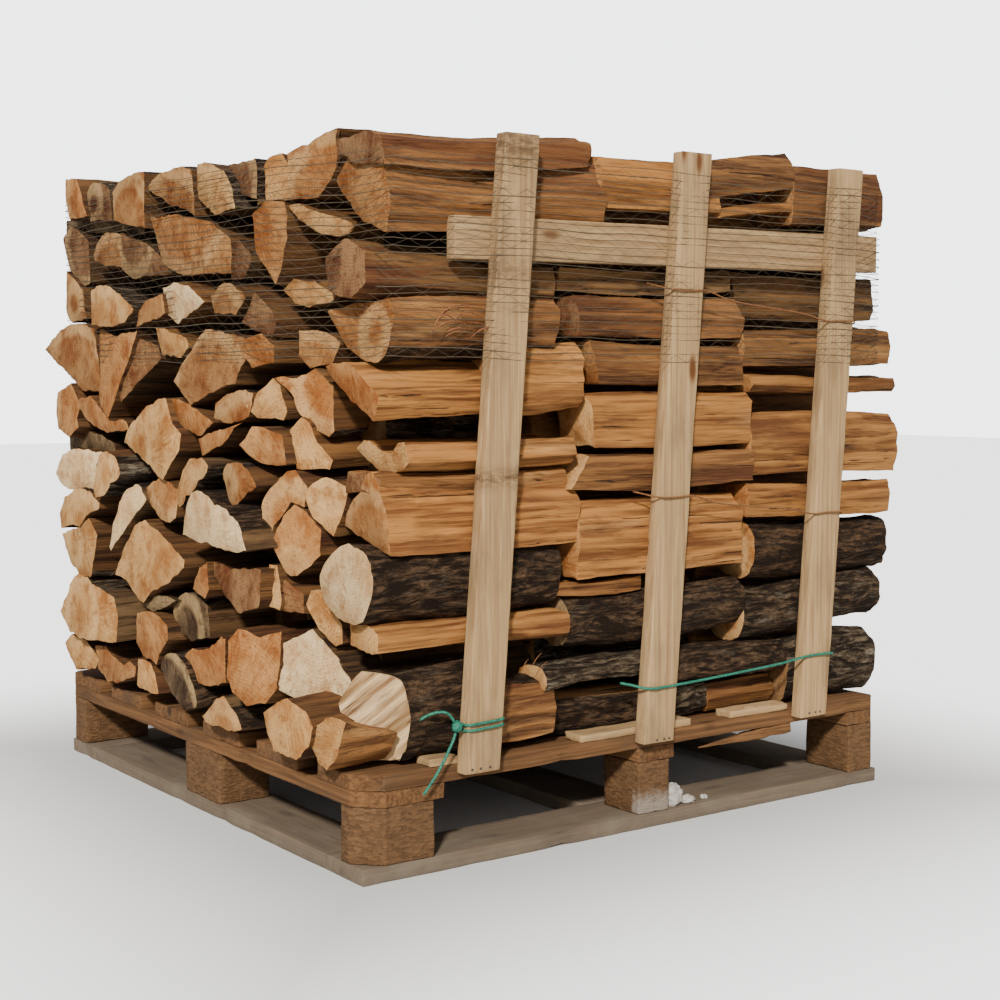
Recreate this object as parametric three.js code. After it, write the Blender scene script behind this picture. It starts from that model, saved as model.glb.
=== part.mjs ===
// A pallet of split firewood: a square block pallet, three rows of short split logs
// laid across it, upright battens with a rail on two sides, twines and a net band.
//
// Millimetres, +Z up. X runs along the face with the battens and along the logs,
// Y runs back from that face. The origin is the middle of the pallet's underside.

import * as THREE from 'three';

// ---- driving dimensions ----

const GAP = 0.3;                 // clearance kept between pieces that touch

const PALLET = 1000;             // length and width of the pallet
const BOARD = 22;                // thickness of every pallet board
const BLOCK = 78;                // height of the chipboard blocks
const CHAMFER = 34;              // cut across the front left corner, above the ground boards
const NIP = 12;                  // cut across the other three corners
const BASE_BOARD = 100;          // width of the boards on the ground
const DECK_BOARD = 120;          // width of the boards under the logs
const DECK_COUNT = 6;

const STACK_TOP = 1000;          // height of the top of the logs above the ground
const ROWS = [[null, -142], [-138, 186], [190, null]];   // each row of logs, along X

const BATTEN_WIDTH = 58;
const BATTEN_THICK = 22;
const BATTEN_FOOT = 133;         // height of the batten's lower end, nailed to the deck's edge
const BATTEN_TOP = 1001;
const BATTEN_LEAN = 66;          // how far each batten leans along X over its height
const FRONT_BATTENS = [-322, -2, 326];
const BACK_BATTENS = [-326, 2, 322];
const RAIL_THICK = 20;
const RAIL_WIDTH = 58;

const GREEN_TWINE = 4;           // twine diameters
const BROWN_TWINE = 2.6;
const NET_THICK = 2;
const NET_BOTTOM = 690;

// ---- heights and depths that follow from them ----

const HALF = PALLET / 2;
const BLOCK_TOP = BOARD + BLOCK;
const STRINGER_TOP = BLOCK_TOP + BOARD;
const DECK_TOP = STRINGER_TOP + BOARD;
const BATTEN_BACK = -HALF - GAP;
const BATTEN_FRONT = BATTEN_BACK - BATTEN_THICK;

// ---- materials ----

function finish(color, roughness) {
  return new THREE.MeshStandardMaterial({ color, roughness, metalness: 0 });
}

const deckWood = finish(0x8a6844, 0.85);
const baseWood = finish(0x8d857b, 0.9);
const chipboard = finish(0x9a6a3e, 0.9);
const battenWood = finish(0xc9ad80, 0.75);
const firewood = finish(0xa87442, 0.85);
const greenTwine = finish(0x2f8f76, 0.6);
const brownTwine = finish(0x8c6a48, 0.9);
const netThread = finish(0x3c3c3a, 0.7);

// ---- building helpers ----

const model = new THREE.Group();

function piece(name, geometry, material) {
  const mesh = new THREE.Mesh(geometry, material);
  mesh.name = name;
  model.add(mesh);
  return mesh;
}

function box(name, material, [x0, x1], [y0, y1], [z0, z1]) {
  const mesh = piece(name, new THREE.BoxGeometry(x1 - x0, y1 - y0, z1 - z0), material);
  mesh.position.set((x0 + x1) / 2, (y0 + y1) / 2, (z0 + z1) / 2);
}

function extrude(outline, depth) {
  const shape = new THREE.Shape(outline.map(([u, v]) => new THREE.Vector2(u, v)));
  return new THREE.ExtrudeGeometry(shape, { depth, bevelEnabled: false });
}

// A prism with an outline in XY that rises from z0 to z1.
function standing(name, material, outline, [z0, z1]) {
  piece(name, extrude(outline, z1 - z0), material).position.z = z0;
}

// A prism with an outline in XZ that runs from y0 to y1.
function across(name, material, outline, [y0, y1]) {
  const mesh = piece(name, extrude(outline, y1 - y0), material);
  mesh.rotation.x = Math.PI / 2;
  mesh.position.y = y1;
}

// A prism with an outline in YZ that runs from x0 to x1.
function along(name, material, outline, [x0, x1]) {
  const mesh = piece(name, extrude(outline, x1 - x0), material);
  mesh.rotation.set(Math.PI / 2, 0, Math.PI / 2, 'ZYX');
  mesh.position.x = x0;
}

// A rectangle in plan with the corners that lie on the pallet's own corners cut off.
function palletOutline([x0, x1], [y0, y1]) {
  const points = [];
  for (const [x, y, sx, sy] of [[x0, y0, 1, 1], [x1, y0, -1, 1], [x1, y1, -1, -1], [x0, y1, 1, -1]]) {
    const cut = x < 0 && y < 0 ? CHAMFER : NIP;
    if (Math.abs(x) < HALF || Math.abs(y) < HALF) {
      points.push([x, y]);
    } else if (sx * sy > 0) {
      points.push([x, y + sy * cut], [x + sx * cut, y]);
    } else {
      points.push([x + sx * cut, y], [x, y + sy * cut]);
    }
  }
  return points;
}

// A cord along a smooth path through the points.
function cord(name, material, diameter, points, steps) {
  const path = new THREE.CatmullRomCurve3(points.map((p) => new THREE.Vector3(...p)));
  const ring = [];
  for (let i = 0; i < 8; i += 1) {
    const turn = (i * Math.PI) / 4;
    ring.push(new THREE.Vector2(Math.cos(turn) * diameter / 2, Math.sin(turn) * diameter / 2));
  }
  const options = { steps, extrudePath: path, bevelEnabled: false };
  piece(name, new THREE.ExtrudeGeometry(new THREE.Shape(ring), options), material);
}

// ---- pallet ----

function basePanels() {
  const inner = HALF - BASE_BOARD;
  const level = [0, BOARD];
  box('base_board_front', baseWood, [-HALF, HALF], [-HALF, -inner], level);
  box('base_board_back', baseWood, [-HALF, HALF], [inner, HALF], level);
  const between = [-inner + GAP, inner - GAP];
  box('base_board_left', baseWood, [-HALF, -inner], between, level);
  box('base_board_middle', baseWood, [-BASE_BOARD / 2, BASE_BOARD / 2], between, level);
  box('base_board_right', baseWood, [inner, HALF], between, level);
}

function blocks() {
  const places = {
    front_left: [[-500, -387], [-500, -442]],
    front_middle: [[-23, 39], [-500, -420]],
    front_right: [[434, 500], [-500, -405]],
    middle_left: [[-500, -415], [-83, 36]],
    centre: [[-35, 45], [-60, 60]],
    middle_right: [[415, 500], [-60, 60]],
    back_left: [[-500, -382], [440, 500]],
    back_middle: [[-23, 39], [420, 500]],
    back_right: [[387, 500], [442, 500]],
  };
  for (const [place, [xs, ys]] of Object.entries(places)) {
    standing(`block_${place}`, chipboard, palletOutline(xs, ys), [BOARD + GAP, BLOCK_TOP]);
  }
}

function stringers() {
  const places = { left: [-500, -370], middle: [-23, 49], right: [430, 500] };
  for (const [place, xs] of Object.entries(places)) {
    const outline = palletOutline(xs, [-HALF, HALF]);
    standing(`stringer_${place}`, deckWood, outline, [BLOCK_TOP + GAP, STRINGER_TOP]);
  }
}

function deck() {
  const pitch = (PALLET - DECK_BOARD) / (DECK_COUNT - 1);
  for (let i = 0; i < DECK_COUNT; i += 1) {
    const y0 = -HALF + i * pitch;
    const outline = palletOutline([-HALF, HALF], [y0, y0 + DECK_BOARD]);
    standing(`deck_board_${i + 1}`, deckWood, outline, [STRINGER_TOP + GAP, DECK_TOP]);
  }
}

// ---- logs ----

// Each course of each row, with the logs' general outline: narrower on the deck,
// widest halfway up and drawn in again at the top. start and end are the free ends
// of the first and the last row.
function logs() {
  const courses = [
    { z: [DECK_TOP + GAP, 252], front: -455, back: 470, start: -515, end: 490 },
    { z: [252 + GAP, 430], front: -494, back: 494, start: -525, end: 494 },
    { z: [430 + GAP, 620], front: -496, back: 496, start: -525, end: 522 },
    { z: [620 + GAP, 800], front: -494, back: 490, start: -520, end: 508 },
    { z: [800 + GAP, STACK_TOP], front: -476, back: 476, start: -512, end: 486 },
  ];
  const EDGE = 14;               // the long edges are cut back, as rounded logs leave them
  courses.forEach(({ z: [z0, z1], front, back, start, end }, i) => {
    ROWS.forEach(([x0, x1], j) => {
      const rear = j === 0 && i > 3 ? 450 : back;
      const outline = [
        [front + EDGE, z0], [rear - EDGE, z0], [rear, z0 + EDGE], [rear, z1 - EDGE],
        [rear - EDGE, z1], [front + EDGE, z1], [front, z1 - EDGE], [front, z0 + EDGE],
      ];
      along(`logs_row_${j + 1}_course_${i + 1}`, firewood, outline, [x0 ?? start, x1 ?? end]);
    });
  });
}

// ---- battens, rails and the loose laths at their feet ----

function leanAt(z) {
  return (BATTEN_LEAN * (z - BATTEN_FOOT)) / (BATTEN_TOP - BATTEN_FOOT);
}

function battens() {
  const half = BATTEN_WIDTH / 2;
  const sides = [
    ['front', FRONT_BATTENS, 1, [BATTEN_FRONT, BATTEN_BACK]],
    ['back', BACK_BATTENS, -1, [-BATTEN_BACK, -BATTEN_FRONT]],
  ];
  for (const [side, feet, way, depth] of sides) {
    feet.forEach((x, i) => {
      const top = x + way * BATTEN_LEAN;
      const outline = [
        [x - half, BATTEN_FOOT], [x + half, BATTEN_FOOT], [top + half, BATTEN_TOP], [top - half, BATTEN_TOP],
      ];
      across(`batten_${side}_${i + 1}`, battenWood, outline, depth);
    });
  }
}

function rails() {
  const front = [[-353, 830], [481, 843], [481, 843 + RAIL_WIDTH], [-353, 830 + RAIL_WIDTH]];
  across('rail_front', battenWood, front, [-HALF, -HALF + RAIL_THICK]);
  const back = [[-470, 836], [360, 832], [360, 832 + RAIL_WIDTH], [-470, 836 + RAIL_WIDTH]];
  across('rail_back', battenWood, back, [HALF - RAIL_THICK, HALF]);
}

function laths() {
  const level = [DECK_TOP + GAP, DECK_TOP + 11];
  box('lath_1', battenWood, [-392, -345], [-497, -464], level);
  box('lath_2', battenWood, [-130, 84], [-498, -460], level);
  box('lath_3', battenWood, [168, 292], [-498, -462], level);
}

// ---- twines ----

// A line of twine from the left edge of the second batten to the right edge of the third.
function crossingTwine(name, material, diameter, z2, z3) {
  const half = BATTEN_WIDTH / 2;
  const out = BATTEN_FRONT - diameter / 2 - 0.9;
  const left = FRONT_BATTENS[1] + leanAt(z2) - half - diameter / 2 - 1.5;
  const right = FRONT_BATTENS[2] + leanAt(z3) + half + diameter / 2 + 1.5;
  const points = [
    [left - 34, -504, z2 + 9], [left - 14, -511, z2 + 4], [left - 4, -521, z2 + 1],
    [left + 3, out, z2], [left + 34, out, z2 - 1], [left + 64, out, z2],
    [(left + right) / 2, out, (z2 + z3) / 2 - 2],
    [right - 66, out, z3], [right - 34, out, z3 + 1], [right - 3, out, z3],
    [right + 3, -519, z3 - 2], [right + 3, -506, z3 - 6],
  ];
  cord(name, material, diameter, points, 78);
}

function twines() {
  crossingTwine('twine_green_line', greenTwine, GREEN_TWINE, 217, 232);
  crossingTwine('twine_brown_middle', brownTwine, BROWN_TWINE, 497, 458);
  crossingTwine('twine_brown_top', brownTwine, BROWN_TWINE, 800, 761);

  // the tie round the foot of the first batten: two turns, a knot and its two ends
  const half = BATTEN_WIDTH / 2;
  const middle = FRONT_BATTENS[0] + leanAt(198);
  const grow = (by) => [
    [middle - half - by, BATTEN_FRONT - by], [middle + half + by, BATTEN_FRONT - by],
    [middle + half + by, BATTEN_BACK + by], [middle - half - by, BATTEN_BACK + by],
  ];
  const turns = new THREE.Shape(grow(GREEN_TWINE + 1).map(([x, y]) => new THREE.Vector2(x, y)));
  turns.holes.push(new THREE.Path(grow(1).map(([x, y]) => new THREE.Vector2(x, y))));
  const wrap = new THREE.ExtrudeGeometry(turns, { depth: 16, bevelEnabled: false });
  piece('twine_green_turns', wrap, greenTwine).position.z = 190;

  const knot = piece('twine_green_knot', new THREE.SphereGeometry(7, 12, 8), greenTwine);
  knot.rotation.x = Math.PI / 2;
  knot.position.set(middle - half - GREEN_TWINE - 9, -514, 200);
  const { x, y, z } = knot.position;
  cord('twine_green_end', greenTwine, GREEN_TWINE,
    [[x - 5, y, z + 7.6], [x - 18, y + 2, z + 21], [x - 36, y + 9, z + 20], [x - 52, y + 22, z + 8]], 10);
  cord('twine_green_tail', greenTwine, GREEN_TWINE,
    [[x - 4, y - 2, z - 8.6], [x - 18, y - 3, z - 34], [x - 36, y - 2, z - 62], [x - 54, y + 1, z - 86]], 12);
}

// ---- net band round the upper courses ----

function net() {
  const outline = (by) => [
    [-522 - by, -500 - by], [-312 - by, -528 - by], [424 + by, -528 - by], [513 + by, -500 - by],
    [513 + by, 500 + by], [312 + by, 528 + by], [-424 - by, 528 + by], [-522 - by, 500 + by],
  ].map(([x, y]) => new THREE.Vector2(x, y));
  const band = new THREE.Shape(outline(NET_THICK));
  band.holes.push(new THREE.Path(outline(0)));
  const depth = STACK_TOP - NET_BOTTOM;
  piece('net_band', new THREE.ExtrudeGeometry(band, { depth, bevelEnabled: false }), netThread)
    .position.z = NET_BOTTOM;
}

basePanels();
blocks();
stringers();
deck();
logs();
battens();
rails();
laths();
twines();
net();

export default model;
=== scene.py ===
import math
import random

import bmesh
import bpy
from mathutils import Matrix, Vector, noise


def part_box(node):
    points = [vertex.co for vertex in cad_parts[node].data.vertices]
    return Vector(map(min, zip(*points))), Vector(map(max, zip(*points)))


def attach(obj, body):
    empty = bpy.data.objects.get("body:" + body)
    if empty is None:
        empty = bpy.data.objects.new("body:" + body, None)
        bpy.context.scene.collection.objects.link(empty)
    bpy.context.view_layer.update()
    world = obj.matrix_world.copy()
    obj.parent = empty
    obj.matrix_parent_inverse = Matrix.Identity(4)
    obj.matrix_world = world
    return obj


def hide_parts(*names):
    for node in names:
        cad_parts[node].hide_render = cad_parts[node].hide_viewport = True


# A pallet of split firewood: three rows of short logs on a block pallet, upright battens
# with a rail, twines and a net band. Lengths are metres, except where a name says cm.

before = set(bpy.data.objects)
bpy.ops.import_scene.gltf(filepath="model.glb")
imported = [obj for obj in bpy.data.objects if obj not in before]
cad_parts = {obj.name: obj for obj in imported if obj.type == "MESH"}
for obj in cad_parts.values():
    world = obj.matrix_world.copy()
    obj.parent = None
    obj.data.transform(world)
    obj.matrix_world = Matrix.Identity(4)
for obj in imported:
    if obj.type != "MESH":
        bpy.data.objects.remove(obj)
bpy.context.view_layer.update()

CM = 0.01
EYE = Vector((-1.619, -2.339, 0.671))      # where the stack is looked at from
FACE_X = -0.52                             # the plane on which the log ends of row 1 are drawn
FRONT_Y = -0.50                            # the plane of the long front face
DECK_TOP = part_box("deck_board_1")[1].z
NET_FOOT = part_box("net_band")[0].z


# ---------------------------------------------------------------- camera, light and floor

def camera():
    data = bpy.data.cameras.new("camera")
    data.lens = 59.7
    data.sensor_width = 36.0
    made = bpy.data.objects.new("camera", data)
    made.location = EYE
    made.rotation_euler = (math.radians(85.79), math.radians(-0.09), math.radians(-36.1))
    bpy.context.scene.collection.objects.link(made)
    bpy.context.scene.camera = made


def floor():
    bm = bmesh.new()
    bmesh.ops.create_grid(bm, x_segments=1, y_segments=1, size=14.0)
    made = finished("floor", bm, [floor_material()])


def sun(direction, strength, angle):
    data = bpy.data.lights.new("key", "SUN")
    data.energy = strength
    data.angle = math.radians(angle)
    data.color = (1.0, 0.955, 0.89)
    made = bpy.data.objects.new("key", data)
    made.rotation_euler = Vector(direction).to_track_quat("-Z", "Y").to_euler()
    bpy.context.scene.collection.objects.link(made)


def soft_panel(name, place, aim, size, power):
    data = bpy.data.lights.new(name, "AREA")
    data.energy = power
    data.shape = "DISK"
    data.size = size
    made = bpy.data.objects.new(name, data)
    made.location = place
    made.rotation_euler = (Vector(aim) - Vector(place)).to_track_quat("-Z", "Y").to_euler()
    bpy.context.scene.collection.objects.link(made)


def surroundings(light, seen):
    """A plain pale studio: its light on the object, and how bright it is to look at."""
    world = bpy.data.worlds.new("studio")
    world.use_nodes = True
    tree = world.node_tree
    background = tree.nodes["Background"]
    background.inputs["Color"].default_value = (0.96, 0.975, 1.0, 1.0)
    path = add(tree, "LightPath")
    mixed = add(tree, "MapRange", {"Value": path.outputs["Is Camera Ray"], "To Min": light, "To Max": seen})
    tree.links.new(mixed.outputs["Result"], background.inputs["Strength"])
    bpy.context.scene.world = world


# ---------------------------------------------------------------- node helpers

def srgb(red, green, blue):
    """A linear colour from the everyday 0 to 255 values."""
    def linear(value):
        value /= 255.0
        return value / 12.92 if value <= 0.04045 else ((value + 0.055) / 1.055) ** 2.4
    return (linear(red), linear(green), linear(blue), 1.0)


def add(tree, kind, inputs=None, **settings):
    made = tree.nodes.new("ShaderNode" + kind)
    for key, value in settings.items():
        setattr(made, key, value)
    for key, value in (inputs or {}).items():
        if isinstance(value, bpy.types.NodeSocket):
            tree.links.new(value, made.inputs[key])
        else:
            made.inputs[key].default_value = value
    return made


def calc(tree, operation, first, second=0.0, clamp=False):
    return add(tree, "Math", {0: first, 1: second}, operation=operation, use_clamp=clamp).outputs[0]


def blend(tree, factor, first, second, mode="MIX"):
    made = add(tree, "Mix", {0: factor, 6: first, 7: second}, data_type="RGBA", blend_type=mode)
    return made.outputs[2]


def times(tree, first, second):
    return calc(tree, "MULTIPLY", first, second)


def plus(tree, first, second):
    return calc(tree, "ADD", first, second)


def tinted(tree, colour, tint):
    """One colour or value multiplied into another, which it darkens."""
    return blend(tree, 1.0, colour, tint, "MULTIPLY")


def stained(tree, body, mask, amount, colour):
    """The body with a colour over it where the mask is, up to an amount."""
    return blend(tree, times(tree, mask, amount), body, colour)


def steps(tree, value, low, high):
    """A smooth step from 0 at low to 1 at high, whichever of the two is larger."""
    made = add(tree, "MapRange", {"Value": value, "From Min": low, "From Max": high},
               interpolation_type="SMOOTHSTEP")
    return made.outputs["Result"]


def scaled(tree, vector, scale, location=(0.0, 0.0, 0.0)):
    made = add(tree, "Mapping", {"Vector": vector, "Scale": scale, "Location": location})
    return made.outputs["Vector"]


def noise_of(tree, vector, scale=1.0, detail=3.0, roughness=0.55, distortion=0.0):
    made = add(tree, "TexNoise", {"Vector": vector, "Scale": scale, "Detail": detail,
                                  "Roughness": roughness, "Distortion": distortion})
    return made.outputs["Fac"]


def attribute(tree, name):
    return add(tree, "Attribute", attribute_name=name)


def parts_of(tree, name):
    """The three numbers that a mesh keeps for each vertex under one name."""
    return add(tree, "SeparateXYZ", {0: attribute(tree, name).outputs["Vector"]})


def object_coords(tree):
    return add(tree, "TexCoord").outputs["Object"]


def shader_group(name, inputs, outputs):
    tree = bpy.data.node_groups.new(name, "ShaderNodeTree")
    kinds = {"vector": "NodeSocketVector", "value": "NodeSocketFloat", "colour": "NodeSocketColor"}
    for label, kind in inputs:
        tree.interface.new_socket(label, in_out="INPUT", socket_type=kinds[kind])
    for label, kind in outputs:
        tree.interface.new_socket(label, in_out="OUTPUT", socket_type=kinds[kind])
    return tree, tree.nodes.new("NodeGroupInput"), tree.nodes.new("NodeGroupOutput")


def placed(tree, group, inputs):
    return add(tree, "Group", inputs, node_tree=group)


def material(name, paint, roughness=0.85, specular=0.25):
    """A material whose colour and bump are laid out by paint(tree, shader)."""
    made = bpy.data.materials.new(name)
    made.use_nodes = True
    tree = made.node_tree
    shader = tree.nodes["Principled BSDF"]
    shader.inputs["Roughness"].default_value = roughness
    shader.inputs["Specular IOR Level"].default_value = specular
    paint(tree, shader)
    return made


def bump(tree, shader, height, distance, strength=1.0):
    made = add(tree, "Bump", {"Height": height, "Distance": distance, "Strength": strength})
    tree.links.new(made.outputs["Normal"], shader.inputs["Normal"])


# ---------------------------------------------------------------- shared patterns

def make_fibre_group():
    """Fibres that run along X: fine threads, broad streaks and a height for the bump."""
    tree, inside, outside = shader_group(
        "wood_fibres", [("Vector", "vector"), ("Width", "value")],
        [("Threads", "value"), ("Streaks", "value"), ("Height", "value")])
    wander = add(tree, "TexNoise", {"Vector": scaled(tree, inside.outputs["Vector"], (4.0, 9.0, 9.0)),
                                    "Scale": 1.0, "Detail": 2.0})
    pushed = add(tree, "VectorMath", {0: wander.outputs["Color"], 1: (0.0, 0.012, 0.012)},
                 operation="MULTIPLY").outputs[0]
    bent = add(tree, "VectorMath", {0: inside.outputs["Vector"], 1: pushed}, operation="ADD").outputs[0]
    wide = add(tree, "VectorMath", {0: bent, "Scale": inside.outputs["Width"]},
               operation="SCALE").outputs[0]
    threads = noise_of(tree, scaled(tree, wide, (9.0, 420.0, 420.0)), detail=4.0, roughness=0.6)
    streaks = noise_of(tree, scaled(tree, wide, (3.2, 85.0, 85.0)), detail=3.0, roughness=0.55)
    height = plus(tree, times(tree, threads, 0.4), times(tree, streaks, 0.9))
    tree.links.new(threads, outside.inputs["Threads"])
    tree.links.new(streaks, outside.inputs["Streaks"])
    tree.links.new(height, outside.inputs["Height"])
    return tree


def make_ring_group():
    """Growth rings round the X axis of the grain coordinates, with rays that cross them."""
    tree, inside, outside = shader_group(
        "growth_rings", [("Vector", "vector"), ("Rings per metre", "value")],
        [("Rings", "value"), ("Rays", "value"), ("Radius", "value")])
    parts = add(tree, "SeparateXYZ", {0: inside.outputs["Vector"]})
    flat = add(tree, "CombineXYZ", {"Y": parts.outputs["Y"], "Z": parts.outputs["Z"]}).outputs[0]
    wander = noise_of(tree, scaled(tree, inside.outputs["Vector"], (10.0, 22.0, 22.0)), detail=2.0)
    radius = add(tree, "VectorMath", {0: flat}, operation="LENGTH").outputs["Value"]
    bent = plus(tree, radius, times(tree, calc(tree, "SUBTRACT", wander, 0.5), 0.016))
    turns = times(tree, bent, inside.outputs["Rings per metre"])
    saw = calc(tree, "FRACT", turns)
    rings = times(tree, saw, saw)
    angle = calc(tree, "ARCTAN2", parts.outputs["Z"], parts.outputs["Y"])
    polar = add(tree, "CombineXYZ", {"X": times(tree, angle, 28.0),
                                     "Y": times(tree, radius, 30.0)}).outputs[0]
    rays = noise_of(tree, polar, detail=3.0, roughness=0.65)
    tree.links.new(rings, outside.inputs["Rings"])
    tree.links.new(rays, outside.inputs["Rays"])
    tree.links.new(bent, outside.inputs["Radius"])
    return tree


def make_plank_group():
    """Sawn softwood along one axis: grain lines, knots and dirt, on stretched coordinates."""
    tree, inside, outside = shader_group(
        "sawn_grain", [("Vector", "vector")],
        [("Lines", "value"), ("Knots", "value"), ("Stain", "value"), ("Height", "value")])
    source = inside.outputs["Vector"]
    wander = noise_of(tree, scaled(tree, source, (2.2, 7.0, 7.0)), detail=2.0)
    lines = noise_of(tree, scaled(tree, source, (5.0, 190.0, 190.0)), detail=4.0, roughness=0.6,
                     distortion=0.6)
    fine = noise_of(tree, scaled(tree, source, (40.0, 900.0, 900.0)), detail=2.0)
    cells = add(tree, "TexVoronoi", {"Vector": scaled(tree, source, (5.5, 15.0, 15.0)), "Scale": 1.0})
    knots = steps(tree, cells.outputs["Distance"], 0.16, 0.06)
    stain = noise_of(tree, scaled(tree, source, (6.0, 14.0, 14.0)), detail=5.0, roughness=0.6)
    mixed = plus(tree, lines, times(tree, wander, 0.25))
    height = plus(tree, times(tree, lines, 0.7), times(tree, fine, 0.3))
    tree.links.new(mixed, outside.inputs["Lines"])
    tree.links.new(knots, outside.inputs["Knots"])
    tree.links.new(stain, outside.inputs["Stain"])
    tree.links.new(height, outside.inputs["Height"])
    return tree


FIBRES = make_fibre_group()
RINGS = make_ring_group()
PLANK = make_plank_group()


# ---------------------------------------------------------------- firewood materials

def split_wood(tree, shader):
    """The torn faces of a split log, streaked along the fibres."""
    grain = attribute(tree, "grain").outputs["Vector"]
    base = attribute(tree, "side_colour").outputs["Color"]
    fibres = placed(tree, FIBRES, {"Vector": grain, "Width": 1.0})
    streak = steps(tree, fibres.outputs["Streaks"], 0.36, 0.62)
    thread = steps(tree, fibres.outputs["Threads"], 0.3, 0.7)
    dark = tinted(tree, base, srgb(150, 132, 112))
    light = blend(tree, 0.24, base, srgb(190, 138, 76))
    body = blend(tree, streak, dark, light)
    body = stained(tree, body, thread, 0.2, srgb(186, 134, 78))
    broad = noise_of(tree, scaled(tree, grain, (3.0, 17.0, 17.0), (3.1, 0.4, 1.7)), detail=4.0)
    red = steps(tree, broad, 0.5, 0.68)
    body = stained(tree, body, red, 0.62, srgb(84, 44, 22))
    pale = steps(tree, broad, 0.42, 0.3)
    body = stained(tree, body, pale, 0.3, srgb(206, 158, 100))
    soil = noise_of(tree, scaled(tree, grain, (12.0, 60.0, 60.0), (0.7, 2.4, 9.7)), detail=6.0,
                    roughness=0.7)
    body = stained(tree, body, steps(tree, soil, 0.54, 0.7), 0.5, srgb(64, 42, 26))
    crack = noise_of(tree, scaled(tree, grain, (3.2, 210.0, 210.0), (0.4, 5.0, 2.0)), detail=3.0)
    shaded_cleft = steps(tree, crack, 0.35, 0.29)
    # painted shade: the clefts are painted near black for the shade inside them; the bump sinks them too
    body = stained(tree, body, shaded_cleft, 0.85, srgb(30, 18, 10))
    # painted shade: the colour is multiplied by each log's shade, dark on row 1's sides and inner logs
    shade = parts_of(tree, "shade").outputs["X"]
    tree.links.new(tinted(tree, body, shade), shader.inputs["Base Color"])
    height = calc(tree, "SUBTRACT", fibres.outputs["Height"], times(tree, shaded_cleft, 0.7))
    height = plus(tree, height, times(tree, soil, 0.5))
    bump(tree, shader, height, 0.005, 1.0)


def sawn_end(tree, shader):
    """A saw-cut log end: faint rings, rays, a paler rim of sapwood, torn patches and drying cracks, painted
    dark as the shade inside them.
    """
    grain = attribute(tree, "grain").outputs["Vector"]
    base = attribute(tree, "end_colour").outputs["Color"]
    habit = parts_of(tree, "habit")
    rings = placed(tree, RINGS, {"Vector": grain, "Rings per metre": habit.outputs["Y"]})
    dark = tinted(tree, base, srgb(206, 182, 156))
    light = blend(tree, 0.22, base, srgb(226, 190, 136))
    broad = noise_of(tree, scaled(tree, grain, (9.0, 15.0, 15.0), (5.1, 0.2, 4.3)), detail=4.0,
                     roughness=0.6)
    tone = plus(tree, times(tree, rings.outputs["Rays"], 0.35), times(tree, broad, 0.65))
    body = blend(tree, steps(tree, tone, 0.36, 0.62), dark, light)
    body = stained(tree, body, rings.outputs["Rings"], 0.34, tinted(tree, base, srgb(172, 134, 100)))
    rim = calc(tree, "SUBTRACT", habit.outputs["X"], rings.outputs["Radius"])
    sapwood = times(tree, steps(tree, rim, 0.024, 0.012), steps(tree, rim, -0.010, 0.0))
    body = stained(tree, body, sapwood, 0.3, srgb(220, 184, 128))
    blotch = noise_of(tree, scaled(tree, grain, (20.0, 36.0, 36.0), (1.3, 2.2, 0.3)), detail=6.0,
                      roughness=0.65)
    body = stained(tree, body, steps(tree, blotch, 0.5, 0.66), 0.62, tinted(tree, base, srgb(178, 140, 104)))
    grit = noise_of(tree, scaled(tree, grain, (60.0, 210.0, 210.0)), detail=5.0, roughness=0.75)
    body = stained(tree, body, steps(tree, grit, 0.53, 0.68), 0.55, tinted(tree, base, srgb(128, 92, 62)))
    shaded_cracks = steps(tree, rings.outputs["Rays"], 0.31, 0.27)
    # painted shade inside the drying cracks
    body = stained(tree, body, shaded_cracks, 0.7, srgb(46, 28, 16))
    # painted shade: the colour is multiplied by each log's shade, darker on row 1's ends behind the net and
    # on its inner logs
    shade = parts_of(tree, "shade").outputs["Y"]
    tree.links.new(tinted(tree, body, shade), shader.inputs["Base Color"])
    height = plus(tree, times(tree, grit, 0.6), times(tree, rings.outputs["Rays"], 0.2))
    height = plus(tree, height, times(tree, blotch, 0.6))
    height = calc(tree, "SUBTRACT", height, times(tree, shaded_cracks, 0.8))
    bump(tree, shader, height, 0.0045, 0.9)


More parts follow.
